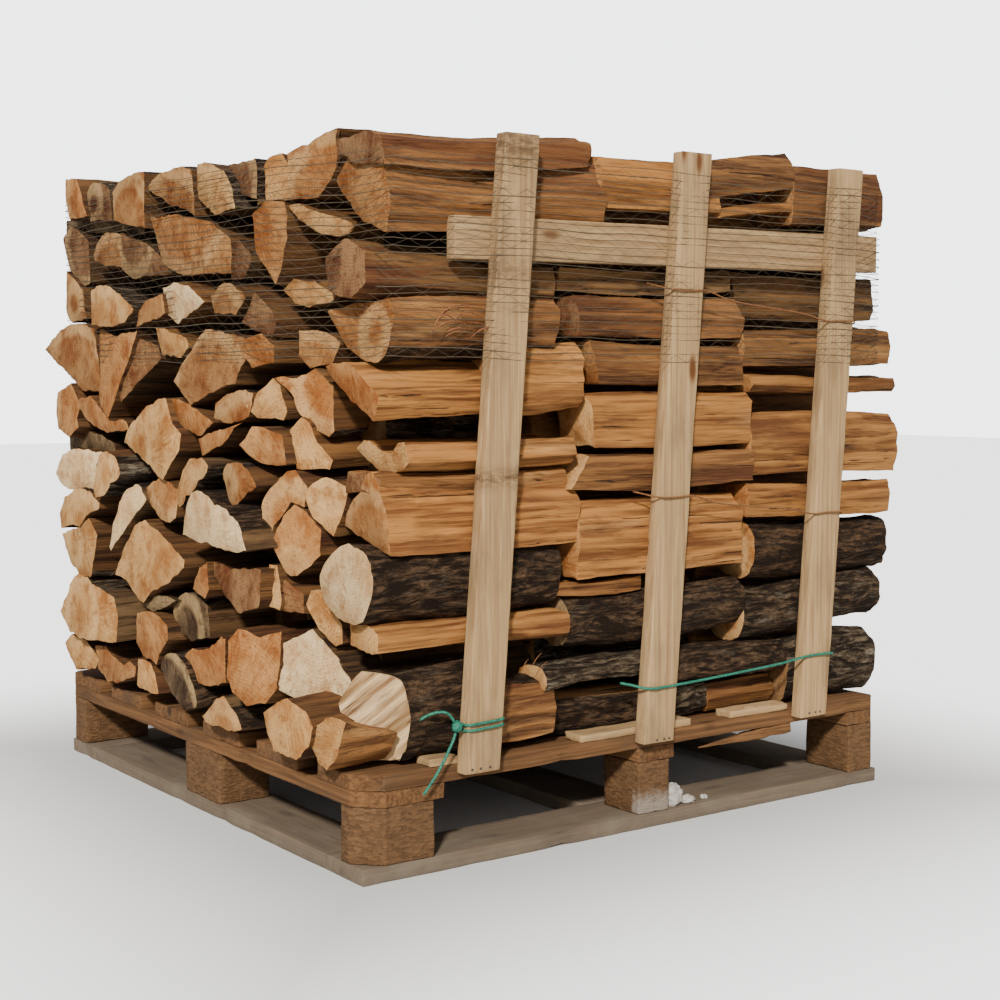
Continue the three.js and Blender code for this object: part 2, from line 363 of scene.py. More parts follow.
def rough_bark(tree, shader):
    """Furrowed bark: brown ridges with painted shade in the long grooves between them, and painted
    light on the raised flakes; greyer on some logs, mottled there with painted grey highlights.
    """
    grain = attribute(tree, "grain").outputs["Vector"]
    habit = parts_of(tree, "habit")
    warp = add(tree, "TexNoise", {"Vector": scaled(tree, grain, (9.0, 26.0, 26.0)), "Scale": 1.0,
                                  "Detail": 3.0})
    pushed = add(tree, "VectorMath", {0: warp.outputs["Color"], 1: (0.02, 0.03, 0.03)},
                 operation="MULTIPLY").outputs[0]
    bent = add(tree, "VectorMath", {0: grain, 1: pushed}, operation="ADD").outputs[0]
    furrows = noise_of(tree, scaled(tree, bent, (17.0, 120.0, 120.0)), detail=4.0, roughness=0.6)
    ridge = steps(tree, furrows, 0.38, 0.58)
    cross = noise_of(tree, scaled(tree, bent, (70.0, 60.0, 60.0)), detail=3.0, roughness=0.6)
    flakes = noise_of(tree, scaled(tree, bent, (52.0, 210.0, 210.0)), detail=6.0, roughness=0.75)
    # painted light: the raised flakes, which the bump lifts, are painted lighter
    lit = steps(tree, flakes, 0.36, 0.66)
    brown = blend(tree, lit, srgb(40, 28, 18), srgb(97, 70, 47))
    grey = blend(tree, lit, srgb(50, 40, 30), srgb(120, 103, 82))
    body = blend(tree, habit.outputs["Z"], brown, grey)
    unshaded_ridges = calc(tree, "MULTIPLY", ridge, plus(tree, times(tree, cross, 0.8), 0.5), clamp=True)
    # painted shade: the grooves between the ridges are painted near black
    body = blend(tree, unshaded_ridges, srgb(30, 20, 13), body)
    highlight_streaks = noise_of(tree, scaled(tree, grain, (15.0, 70.0, 70.0), (7.0, 1.0, 4.0)), detail=6.0,
                      roughness=0.7)
    # painted highlight: pale grey streaks on the greyer barks
    pale = times(tree, steps(tree, highlight_streaks, 0.55, 0.66), habit.outputs["Z"])
    body = stained(tree, body, pale, 0.75, srgb(138, 128, 110))
    tree.links.new(body, shader.inputs["Base Color"])
    height = plus(tree, unshaded_ridges, times(tree, flakes, 0.8))
    bump(tree, shader, height, 0.006, 1.0)


# ---------------------------------------------------------------- sawn timber, chipboard, twine, net

def along(tree, axis):
    """Object coordinates turned so that the board's length is X."""
    turn = {"x": (0.0, 0.0, 0.0), "y": (0.0, 0.0, math.pi / 2), "z": (0.0, math.pi / 2, 0.0)}[axis]
    made = add(tree, "Mapping", {"Vector": object_coords(tree), "Rotation": turn})
    return made.outputs["Vector"]


def sawn_board(axis, low, high, knot, stain_colour, stain, dusty=0.0, banded=False):
    """A painter for a sawn board between two colours, with knots, stains, cement dust and dark bands."""
    def paint(tree, shader):
        grain = placed(tree, PLANK, {"Vector": along(tree, axis)})
        body = blend(tree, steps(tree, grain.outputs["Lines"], 0.38, 0.86), low, high)
        body = blend(tree, grain.outputs["Knots"], body, knot)
        body = stained(tree, body, steps(tree, grain.outputs["Stain"], 0.48, 0.7), stain, stain_colour)
        if dusty:
            place = object_coords(tree)
            speck = noise_of(tree, place, 34.0, 6.0, 0.7)
            height = add(tree, "SeparateXYZ", {0: place}).outputs["Z"]
            lowest = steps(tree, plus(tree, height, times(tree, speck, 0.05)), 0.09, 0.03)
            dust = times(tree, lowest, dusty)
            body = blend(tree, dust, body, blend(tree, speck, srgb(82, 74, 64), srgb(138, 128, 114)))
        if banded:
            grime = noise_of(tree, scaled(tree, object_coords(tree), (60.0, 60.0, 160.0)), 1.0, 5.0, 0.7)
            band = times(tree, attribute(tree, "bands").outputs["Fac"], steps(tree, grime, 0.3, 0.6))
            body = blend(tree, band, body, srgb(62, 40, 26))
        tree.links.new(body, shader.inputs["Base Color"])
        bump(tree, shader, grain.outputs["Height"], 0.0012, 0.8)
    return paint


def chipboard(tree, shader):
    """Pressed chips: flat flakes of mixed browns, with cement dust low down."""
    place = object_coords(tree)
    chips = add(tree, "TexVoronoi", {"Vector": scaled(tree, place, (110.0, 110.0, 300.0)), "Scale": 1.0})
    fine = noise_of(tree, place, 260.0, 5.0, 0.7)
    tone = add(tree, "SeparateColor", {0: chips.outputs["Color"]}).outputs[0]
    body = blend(tree, tone, srgb(78, 57, 38), srgb(106, 78, 52))
    body = stained(tree, body, steps(tree, fine, 0.5, 0.75), 0.7, srgb(66, 42, 24))
    broad = noise_of(tree, place, 14.0, 4.0, 0.6)
    body = stained(tree, body, steps(tree, broad, 0.45, 0.75), 0.4, srgb(98, 74, 50))
    dust = attribute(tree, "dust").outputs["Fac"]
    speck = noise_of(tree, place, 60.0, 6.0, 0.7)
    laid = steps(tree, plus(tree, dust, times(tree, speck, 0.8)), 0.75, 1.1)
    body = stained(tree, body, laid, 0.85, srgb(138, 128, 116))
    tree.links.new(body, shader.inputs["Base Color"])
    bump(tree, shader, plus(tree, chips.outputs["Distance"], fine), 0.0015, 0.7)


def twine_paint(dark, light):
    """A painter for twine: short dark and light fibres."""
    def paint(tree, shader):
        place = object_coords(tree)
        strands = noise_of(tree, place, 620.0, 3.0, 0.6)
        body = blend(tree, steps(tree, strands, 0.35, 0.65), dark, light)
        tree.links.new(body, shader.inputs["Base Color"])
        bump(tree, shader, strands, 0.0012, 0.9)
    return paint


def net_paint(tree, shader):
    fuzz = noise_of(tree, object_coords(tree), 300.0, 2.0, 0.5)
    tree.links.new(blend(tree, fuzz, srgb(60, 51, 39), srgb(104, 90, 70)), shader.inputs["Base Color"])


def mortar_paint(tree, shader):
    grit = noise_of(tree, object_coords(tree), 420.0, 6.0, 0.7)
    tree.links.new(blend(tree, grit, srgb(132, 126, 118), srgb(206, 200, 190)), shader.inputs["Base Color"])
    bump(tree, shader, grit, 0.002, 0.9)


def steel_paint(tree, shader):
    rust = noise_of(tree, object_coords(tree), 500.0, 3.0, 0.6)
    tree.links.new(blend(tree, rust, srgb(60, 50, 44), srgb(110, 100, 92)), shader.inputs["Base Color"])
    shader.inputs["Metallic"].default_value = 0.6


def floor_paint(tree, shader):
    tree.links.new(blend(tree, noise_of(tree, object_coords(tree), 3.0, 3.0, 0.5),
                         (0.60, 0.60, 0.59, 1.0), (0.64, 0.64, 0.63, 1.0)), shader.inputs["Base Color"])


def floor_material():
    """A white studio floor that looks evenly lit but throws no extra light on the object."""
    made = material("studio_floor", floor_paint, 0.95, 0.1)
    tree = made.node_tree
    shader = tree.nodes["Principled BSDF"]
    path = add(tree, "LightPath")
    place = add(tree, "SeparateXYZ", {0: object_coords(tree)})
    away = calc(tree, "MAXIMUM", calc(tree, "ABSOLUTE", place.outputs["X"]),
                calc(tree, "ABSOLUTE", place.outputs["Y"]))
    glow = times(tree, steps(tree, away, 0.45, 1.3), 1.8)
    shader.inputs["Emission Color"].default_value = (1.0, 1.0, 1.0, 1.0)
    tree.links.new(times(tree, path.outputs["Is Camera Ray"], glow), shader.inputs["Emission Strength"])
    return made


SPLIT = material("split_wood", split_wood, 0.8, 0.28)
BARK = material("bark", rough_bark, 0.93, 0.15)
SAWN = material("sawn_end", sawn_end, 0.85, 0.2)
GREEN = material("green_twine", twine_paint(srgb(10, 66, 54), srgb(46, 138, 112)), 0.55, 0.4)
BROWN = material("brown_twine", twine_paint(srgb(80, 50, 30), srgb(150, 104, 66)), 0.9, 0.2)
NET = material("net_thread", net_paint, 0.7, 0.3)
MORTAR = material("dried_mortar", mortar_paint, 0.95, 0.1)
STEEL = material("nail_steel", steel_paint, 0.5, 0.5)
CHIPS = material("chipboard", chipboard, 0.9, 0.15)

BATTEN_TONES = (srgb(142, 112, 76), srgb(178, 148, 106), srgb(96, 58, 30), srgb(96, 80, 60), 0.5)
# partly the deck's own colour and partly painted shade: darkened for the shade of the logs over the deck
# boards and stringers
SHADED_DECK_TONES = (srgb(74, 50, 31), srgb(118, 84, 52), srgb(48, 30, 18), srgb(74, 60, 46), 0.6)
BASE_TONES = (srgb(70, 54, 38), srgb(106, 86, 64), srgb(54, 38, 25), srgb(118, 106, 90), 0.7)
BATTEN_WOOD = {axis: material("batten_wood_" + axis, sawn_board(axis, *BATTEN_TONES), 0.8, 0.2)
               for axis in "xyz"}
BANDED = material("batten_wood_banded", sawn_board("z", *BATTEN_TONES, banded=True), 0.8, 0.2)
DECK_WOOD = {axis: material("deck_wood_" + axis, sawn_board(axis, *SHADED_DECK_TONES), 0.88, 0.18)
             for axis in "xy"}
BASE_WOOD = {axis: material("base_wood_" + axis, sawn_board(axis, *BASE_TONES, dusty=0.55), 0.92, 0.12)
             for axis in "xy"}


# ---------------------------------------------------------------- mesh helpers

def finished(name, bm, materials, smooth=math.radians(38)):
    mesh = bpy.data.meshes.new(name)
    bm.to_mesh(mesh)
    bm.free()
    for one in materials:
        mesh.materials.append(one)
    if smooth:
        mesh.shade_smooth()
        mesh.set_sharp_from_angle(angle=smooth)
    made = bpy.data.objects.new(name, mesh)
    bpy.context.scene.collection.objects.link(made)
    return made


def ridden(piece, slot, *nodes):
    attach(piece, "root")
    if nodes:
        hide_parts(*nodes)
    return piece


# ---------------------------------------------------------------- twines

BATTEN_X = {1: -0.322, 2: -0.002, 3: 0.326}    # the middle of each front batten at its foot
BATTEN_HALF = 0.029                        # half a batten's width
BATTEN_FACE = -0.5223                      # the front battens' outer face
BATTEN_LEAN = 0.066                        # how far a front batten leans over its length
BATTEN_FOOT = 0.133
BATTEN_LENGTH = 0.868


def cord(name, node, points, diameter, colour, slot):
    """A twine as one smooth curve through the route's points, given in metres."""
    data = bpy.data.curves.new(name, "CURVE")
    data.dimensions = "3D"
    data.bevel_depth = diameter / 2
    data.bevel_resolution = 2
    data.use_fill_caps = True
    data.resolution_u = 6
    spline = data.splines.new("BEZIER")
    spline.bezier_points.add(len(points) - 1)
    for knot, point in zip(spline.bezier_points, points):
        knot.co = point
        knot.handle_left_type = knot.handle_right_type = "AUTO"
    data.materials.append(colour)
    made = bpy.data.objects.new(name, data)
    bpy.context.scene.collection.objects.link(made)
    ridden(made, slot, node)


def lean_at(height):
    """How far a front batten has leaned along X at a height."""
    return BATTEN_LEAN * (height - BATTEN_FOOT) / BATTEN_LENGTH


def crossing_route(diameter, height_2, height_3):
    """From the left edge of the second front batten to the right edge of the third."""
    out = BATTEN_FACE - diameter / 2 - 0.0009
    left = BATTEN_X[2] + lean_at(height_2) - BATTEN_HALF - diameter / 2 - 0.0015
    right = BATTEN_X[3] + lean_at(height_3) + BATTEN_HALF + diameter / 2 + 0.0015
    middle = (left + right) / 2
    return [
        (left - 0.034, -0.504, height_2 + 0.009), (left - 0.014, -0.511, height_2 + 0.004),
        (left - 0.004, -0.521, height_2 + 0.001), (left + 0.003, out, height_2),
        (left + 0.034, out, height_2 - 0.001), (left + 0.064, out, height_2),
        (middle - 0.085, out, (height_2 * 0.75 + height_3 * 0.25) - 0.002),
        (middle, out, (height_2 + height_3) / 2 - 0.002),
        (middle + 0.085, out, (height_2 * 0.25 + height_3 * 0.75) - 0.001),
        (right - 0.066, out, height_3), (right - 0.034, out, height_3 + 0.001),
        (right - 0.003, out, height_3), (right + 0.003, -0.519, height_3 - 0.002),
        (right + 0.003, -0.506, height_3 - 0.006),
    ]


def twines():
    lines = (("twine_green_line", 0.004, 0.217, 0.232, GREEN, "green_twine"),
             ("twine_brown_middle", 0.0026, 0.497, 0.458, BROWN, "brown_twine"),
             ("twine_brown_top", 0.0026, 0.800, 0.761, BROWN, "brown_twine"))
    for node, diameter, height_2, height_3, colour, slot in lines:
        cord(node + "_run", node, crossing_route(diameter, height_2, height_3), diameter,
             colour, slot)
    green_tie()


def knot_of(name, centre, size):
    """A knot: a small ball with the grooves of crossed turns pressed into it."""
    bm = bmesh.new()
    bmesh.ops.create_icosphere(bm, subdivisions=3, radius=size)
    for vert in bm.verts:
        way = vert.co.normalized()
        first = math.sin(14.0 * way.z + 3.0 * math.atan2(way.y, way.x))
        second = math.sin(12.0 * (way.x * 0.8 + way.z * 0.6))
        vert.co = vert.co * (1.0 + 0.10 * first + 0.08 * second)
        vert.co.z *= 1.08
    bmesh.ops.translate(bm, verts=bm.verts, vec=centre)
    return finished(name, bm, [GREEN], smooth=math.radians(180))


def green_tie():
    """Two turns round the foot of the first batten, a knot at its left and two ends."""
    half = BATTEN_HALF
    middle = BATTEN_X[1] + lean_at(0.198)
    near, far = BATTEN_FACE, BATTEN_FACE + 0.022
    turns = []
    for height, out in ((0.1935, 0.0032), (0.2015, 0.0033)):
        left, right = middle - half - out, middle + half + out
        front, back = near - out, far + out
        turns.append([
            (left + 0.002, front + 0.001, height), (middle - 0.014, front, height + 0.001),
            (middle + 0.014, front, height + 0.002), (right - 0.002, front + 0.001, height + 0.003),
            (right, (near + far) / 2, height + 0.003), (right - 0.002, back - 0.0005, height + 0.002),
            (middle, back, height + 0.001), (left + 0.002, back - 0.0005, height),
            (left, (near + far) / 2, height),
        ])
    ring = bmesh.new()
    swept(ring, [(points, [1.0] * len(points)) for points in turns], 0.002, kind="NURBS", fineness=2)
    ring_piece = finished("twine_green_turns_wrap", ring, [GREEN], smooth=math.radians(180))
    ridden(ring_piece, "green_twine", "twine_green_turns")
    centre = Vector((middle - half - 0.004 - 0.009, -0.514, 0.200))
    knot = knot_of("twine_green_knot_tied", centre, 0.0075)
    ridden(knot, "green_twine", "twine_green_knot")
    x, y, z = centre
    end = [(x - 0.005, y, z + 0.0076), (x - 0.011, y + 0.001, z + 0.0165),
           (x - 0.018, y + 0.002, z + 0.021), (x - 0.027, y + 0.005, z + 0.022),
           (x - 0.036, y + 0.009, z + 0.020), (x - 0.045, y + 0.015, z + 0.015),
           (x - 0.052, y + 0.022, z + 0.008)]
    cord("twine_green_end_free", "twine_green_end", end, 0.004, GREEN, "green_twine")
    tail = [(x - 0.004, y - 0.002, z - 0.0086), (x - 0.010, y - 0.003, z - 0.020),
            (x - 0.018, y - 0.003, z - 0.034), (x - 0.027, y - 0.003, z - 0.048),
            (x - 0.036, y - 0.002, z - 0.062), (x - 0.045, y - 0.001, z - 0.074),
            (x - 0.054, y + 0.001, z - 0.086)]
    cord("twine_green_tail_free", "twine_green_tail", tail, 0.004, GREEN, "green_twine")


def swept(bm, runs, radius, closed=True, kind="POLY", fineness=0):
    """Adds to bm a round strand along each run: its points and how thick it is at each of them."""
    data = bpy.data.curves.new("strand", "CURVE")
    data.dimensions = "3D"
    data.twist_mode = "Z_UP"
    data.bevel_depth = radius
    data.bevel_resolution = fineness
    data.use_fill_caps = True
    data.resolution_u = 6
    for points, weights in runs:
        spline = data.splines.new(kind)
        spline.points.add(len(points) - 1)
        for knot, point, weight in zip(spline.points, points, weights):
            knot.co = (*point, 1.0)
            knot.radius = weight
        spline.order_u = 3
        spline.use_endpoint_u = not closed
        spline.use_cyclic_u = closed
    holder = bpy.data.objects.new("strand", data)
    mesh = bpy.data.meshes.new_from_object(holder)
    bm.from_mesh(mesh)
    bpy.data.objects.remove(holder)
    bpy.data.curves.remove(data)
    bpy.data.meshes.remove(mesh)
    bmesh.ops.remove_doubles(bm, verts=bm.verts, dist=1e-6)
    bmesh.ops.recalc_face_normals(bm, faces=bm.faces)


# ---------------------------------------------------------------- logs: how one is made

TONES = {
    "white": srgb(228, 202, 158), "pale": srgb(192, 146, 88), "tan": srgb(164, 110, 54),
    "orange": srgb(158, 102, 46), "brown": srgb(110, 66, 30), "reddish": srgb(98, 54, 26),
    "dark": srgb(56, 36, 21), "grey": srgb(106, 88, 64),
}
SPLIT_FACE, BARK_FACE, SAWN_FACE = 0, 1, 2
TORN_FIBRES = Vector((1.1, -1.0, 1.2))     # which way the fibres run on a torn end
END_WORN = 0.0012                          # how far the rim of a sawn end is broken off
RIM_STEP = {True: 0.0075, False: 0.016}    # between a log's points round its end, fine or not
CUT_STEP = {True: 0.017, False: 0.045}     # between its cuts along X
# The lumps of bark and the ridges of split wood: height, and waves in a metre along X and across.
BARK_WAVES = ((0.0075, 8.0, 14.0), (0.0036, 16.0, 60.0), (0.0024, 50.0, 120.0))
FIBRE_WAVES = ((0.0052, 3.2, 22.0), (0.0036, 5.0, 48.0), (0.0024, 12.0, 150.0), (0.0016, 40.0, 60.0))


class Course:
    """The logs of one row and course, gathered into one mesh with values for each log."""

    def __init__(self):
        self.bm = bmesh.new()
        self.marks = []

    def take(self, bm, origin, turn, side, end, habit, shade):
        grain = []
        for vert in bm.verts:
            barky = any(face.material_index == BARK_FACE for face in vert.link_faces)
            grain.extend(vert.co - origin if barky else turn @ (vert.co - origin))
        mesh = bpy.data.meshes.new("log")
        bm.to_mesh(mesh)
        bm.free()
        self.bm.from_mesh(mesh)
        self.marks.append((len(mesh.vertices), grain, side, end, habit, shade))
        bpy.data.meshes.remove(mesh)

    def finish(self, node):
        made = finished(node + "_split", self.bm, [SPLIT, BARK, SAWN], smooth=math.radians(42))
        ridden(made, "firewood", node)
        fields = {"grain": [], "side_colour": [], "end_colour": [], "habit": [], "shade": []}
        for count, grain, side, end, habit, shade in self.marks:
            fields["grain"].extend(grain)
            fields["side_colour"].extend(side[:3] * count)
            fields["end_colour"].extend(end[:3] * count)
            fields["habit"].extend(habit * count)
            fields["shade"].extend((shade[0], shade[1], 0.0) * count)
        for label, values in fields.items():
            made.data.attributes.new(label, "FLOAT_VECTOR", "POINT").data.foreach_set("vector", values)
        return made


def turned_left(outline):
    """The outline anticlockwise in (y, z); a bark bulge stays with its own edge."""
    whole = [(point[0], point[1], point[2] if len(point) > 2 else 0.0) for point in outline]
    area = sum(a[0] * b[1] - b[0] * a[1] for a, b in zip(whole, whole[1:] + whole[:1]))
    if area > 0:
        return whole
    count = len(whole)
    return [(*whole[-1 - i][:2], whole[(count - 2 - i) % count][2]) for i in range(count)]


def rounded_ring(outline, spacing):
    """Points all round the outline, with bark edges bowed outward, and each stretch's kind."""
    points, kinds = [], []
    for (y0, z0, bulge), (y1, z1, _) in zip(outline, outline[1:] + outline[:1]):
        chord = Vector((y1 - y0, z1 - z0))
        if chord.length < 0.002:
            continue
        out = Vector((chord.y, -chord.x)).normalized()
        count = max(1, round(chord.length / spacing))
        for step in range(count):
            t = step / count
            points.append(Vector((y0, z0)) + chord * t + out * (bulge * 4.0 * t * (1.0 - t)))
            kinds.append(BARK_FACE if bulge else SPLIT_FACE)
    return points, kinds


def pith_of(outline, draws):
    """The centre of the growth rings and the bark's distance from it."""
    best = None
    for (y0, z0, bulge), (y1, z1, _) in zip(outline, outline[1:] + outline[:1]):
        if bulge and (best is None or bulge > best[0]):
            best = (bulge, Vector((y0, z0)), Vector((y1, z1)))
    middle = sum((Vector(point[:2]) for point in outline), Vector((0.0, 0.0))) / len(outline)
    if best is None:
        angle = draws.uniform(0.0, math.tau)
        return middle + Vector((math.cos(angle), math.sin(angle))) * draws.uniform(0.04, 0.10), 0.5
    bulge, start, stop = best
    chord = stop - start
    radius = min(0.15, (chord.length ** 2 / 4.0 + bulge ** 2) / (2.0 * bulge))
    out = Vector((chord.y, -chord.x)).normalized()
    return (start + stop) / 2.0 + out * (bulge - radius), radius


def log(course, outline, x0, x1, end, side, draws, rise=0.0, swell=1.0, slant=(0.0, 0.0), fine=True,
        shade=(1.0, 1.0)):
    """One split log along X between x0 and x1, with its cross-section as (y, z, bark bulge).

    end and side name its tones; a torn end shows fibres in the side's tone. shade multiplies the
    colour of its split sides and of its sawn end: painted shade on row 1's sides, on its ends behind
    the net and on its inner logs. A fine log has closer cuts for the noise to move."""
    outline = turned_left(outline)
    points, kinds = rounded_ring(outline, RIM_STEP[fine])
    middle = sum(points, Vector((0.0, 0.0))) / len(points)
    pith, bark_radius = pith_of(outline, draws)
    bm = bmesh.new()
    near = [bm.verts.new((x0, point.x, point.y)) for point in points]
    order = {vert: index for index, vert in enumerate(near)}
    face = bm.faces.new(near)
    face.material_index = SAWN_FACE
    grown = bmesh.ops.extrude_face_region(bm, geom=[face], use_keep_orig=True)["geom"]
    far = [item for item in grown if isinstance(item, bmesh.types.BMVert)]
    for vert in far:
        vert.co.x = x1
        vert.co.y = middle.x + (vert.co.y - middle.x) * swell
        vert.co.z = middle.y + (vert.co.z - middle.y) * swell + rise
    for wall in bm.faces:
        corners = [order[vert] for vert in wall.verts if vert in order]
        if len(corners) == 2 and len(wall.verts) == 4:
            first, second = sorted(corners)
            wall.material_index = kinds[second if second - first > 1 else first]
    far_set = set(far)
    lengthwise = [edge for edge in bm.edges if (edge.verts[0] in far_set) != (edge.verts[1] in far_set)]
    cuts = int((x1 - x0) / CUT_STEP[fine])
    bmesh.ops.subdivide_edges(bm, edges=lengthwise, cuts=cuts, use_grid_fill=True)
    bmesh.ops.recalc_face_normals(bm, faces=bm.faces)
    weather(bm, x0, x1, slant, middle, draws)
    ends = [one for one in bm.faces if one.material_index == SAWN_FACE]
    bmesh.ops.inset_region(bm, faces=ends, thickness=END_WORN, depth=END_WORN * 0.6, use_even_offset=True)
    turn = Matrix.Identity(3)
    if end == "torn":
        turn = TORN_FIBRES.rotation_difference(Vector((1.0, 0.0, 0.0))).to_matrix()
        for one in ends:
            one.material_index = SPLIT_FACE
        end = side
    shift = Vector((draws.uniform(-9.0, 9.0), 0.0, 0.0))
    habit = (bark_radius, draws.uniform(190.0, 360.0), draws.choice((0.1, 0.2, 0.45, 0.9)))
    tinge = draws.uniform(0.82, 1.12)
    side_tone = tuple(value * tinge for value in TONES[side][:3])
    end_tone = tuple(value * tinge for value in TONES[end][:3])
    course.take(bm, Vector((0.0, pith.x, pith.y)) + shift, turn, side_tone, end_tone, habit, shade)


def weather(bm, x0, x1, slant, middle, draws):
    """Moves every vertex: fibre ridges on split faces, lumps on bark, a little bend and tilt."""
    offset = Vector((draws.uniform(-50.0, 50.0), draws.uniform(-50.0, 50.0), draws.uniform(-50.0, 50.0)))
    bend = (draws.uniform(-0.005, 0.005), draws.uniform(-0.005, 0.005))
    twist = draws.uniform(-0.11, 0.11)
    tilt = (slant[0] + draws.uniform(-0.06, 0.06), slant[1] + draws.uniform(-0.06, 0.06))
    moves = []
    for vert in bm.verts:
        x, y, z = vert.co
        on_bark = any(one.material_index == BARK_FACE for one in vert.link_faces)
        way = Vector((0.0, vert.normal.y, vert.normal.z))
        push = sum(height * noise.noise(Vector((x * along_it, y * across, z * across)) + offset)
                   for height, along_it, across in (BARK_WAVES if on_bark else FIBRE_WAVES))
        t = (x - x0) / (x1 - x0)
        turn = Vector((0.0, middle.y - z, y - middle.x)) * (twist * t)
        arch = math.sin(math.pi * t)
        along_x = 0.0
        if t < 0.001:
            along_x = tilt[0] * (y - middle.x) + tilt[1] * (z - middle.y)
        elif t > 0.999:
            along_x = 0.007 * noise.noise(Vector((3.0, y * 40.0, z * 40.0)) + offset)
        moves.append(way * push + turn + Vector((along_x, bend[0] * arch, bend[1] * arch)))
    for vert, move in zip(bm.verts, moves):
        vert.co += move


# ---------------------------------------------------------------- logs: where they lie

def course_at(height):
    """The number of the course that a height belongs to."""
    for number in range(1, 5):
        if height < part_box(f"logs_row_1_course_{number}")[1].z:
            return number
    return 5


def on_end(y, z, x, turn=0.0, centre=0.0):
    """Where a point drawn in cm on the face plane lies, in metres, on a log end that stands at x.

    A turned end stands at x where y is centre, and turn further along X for each metre of Y."""
    reach = (x - EYE.x + turn * (EYE.y - centre)) / (FACE_X - EYE.x - turn * (y * CM - EYE.y))
    return EYE.y + (y * CM - EYE.y) * reach, EYE.z + (z * CM - EYE.z) * reach


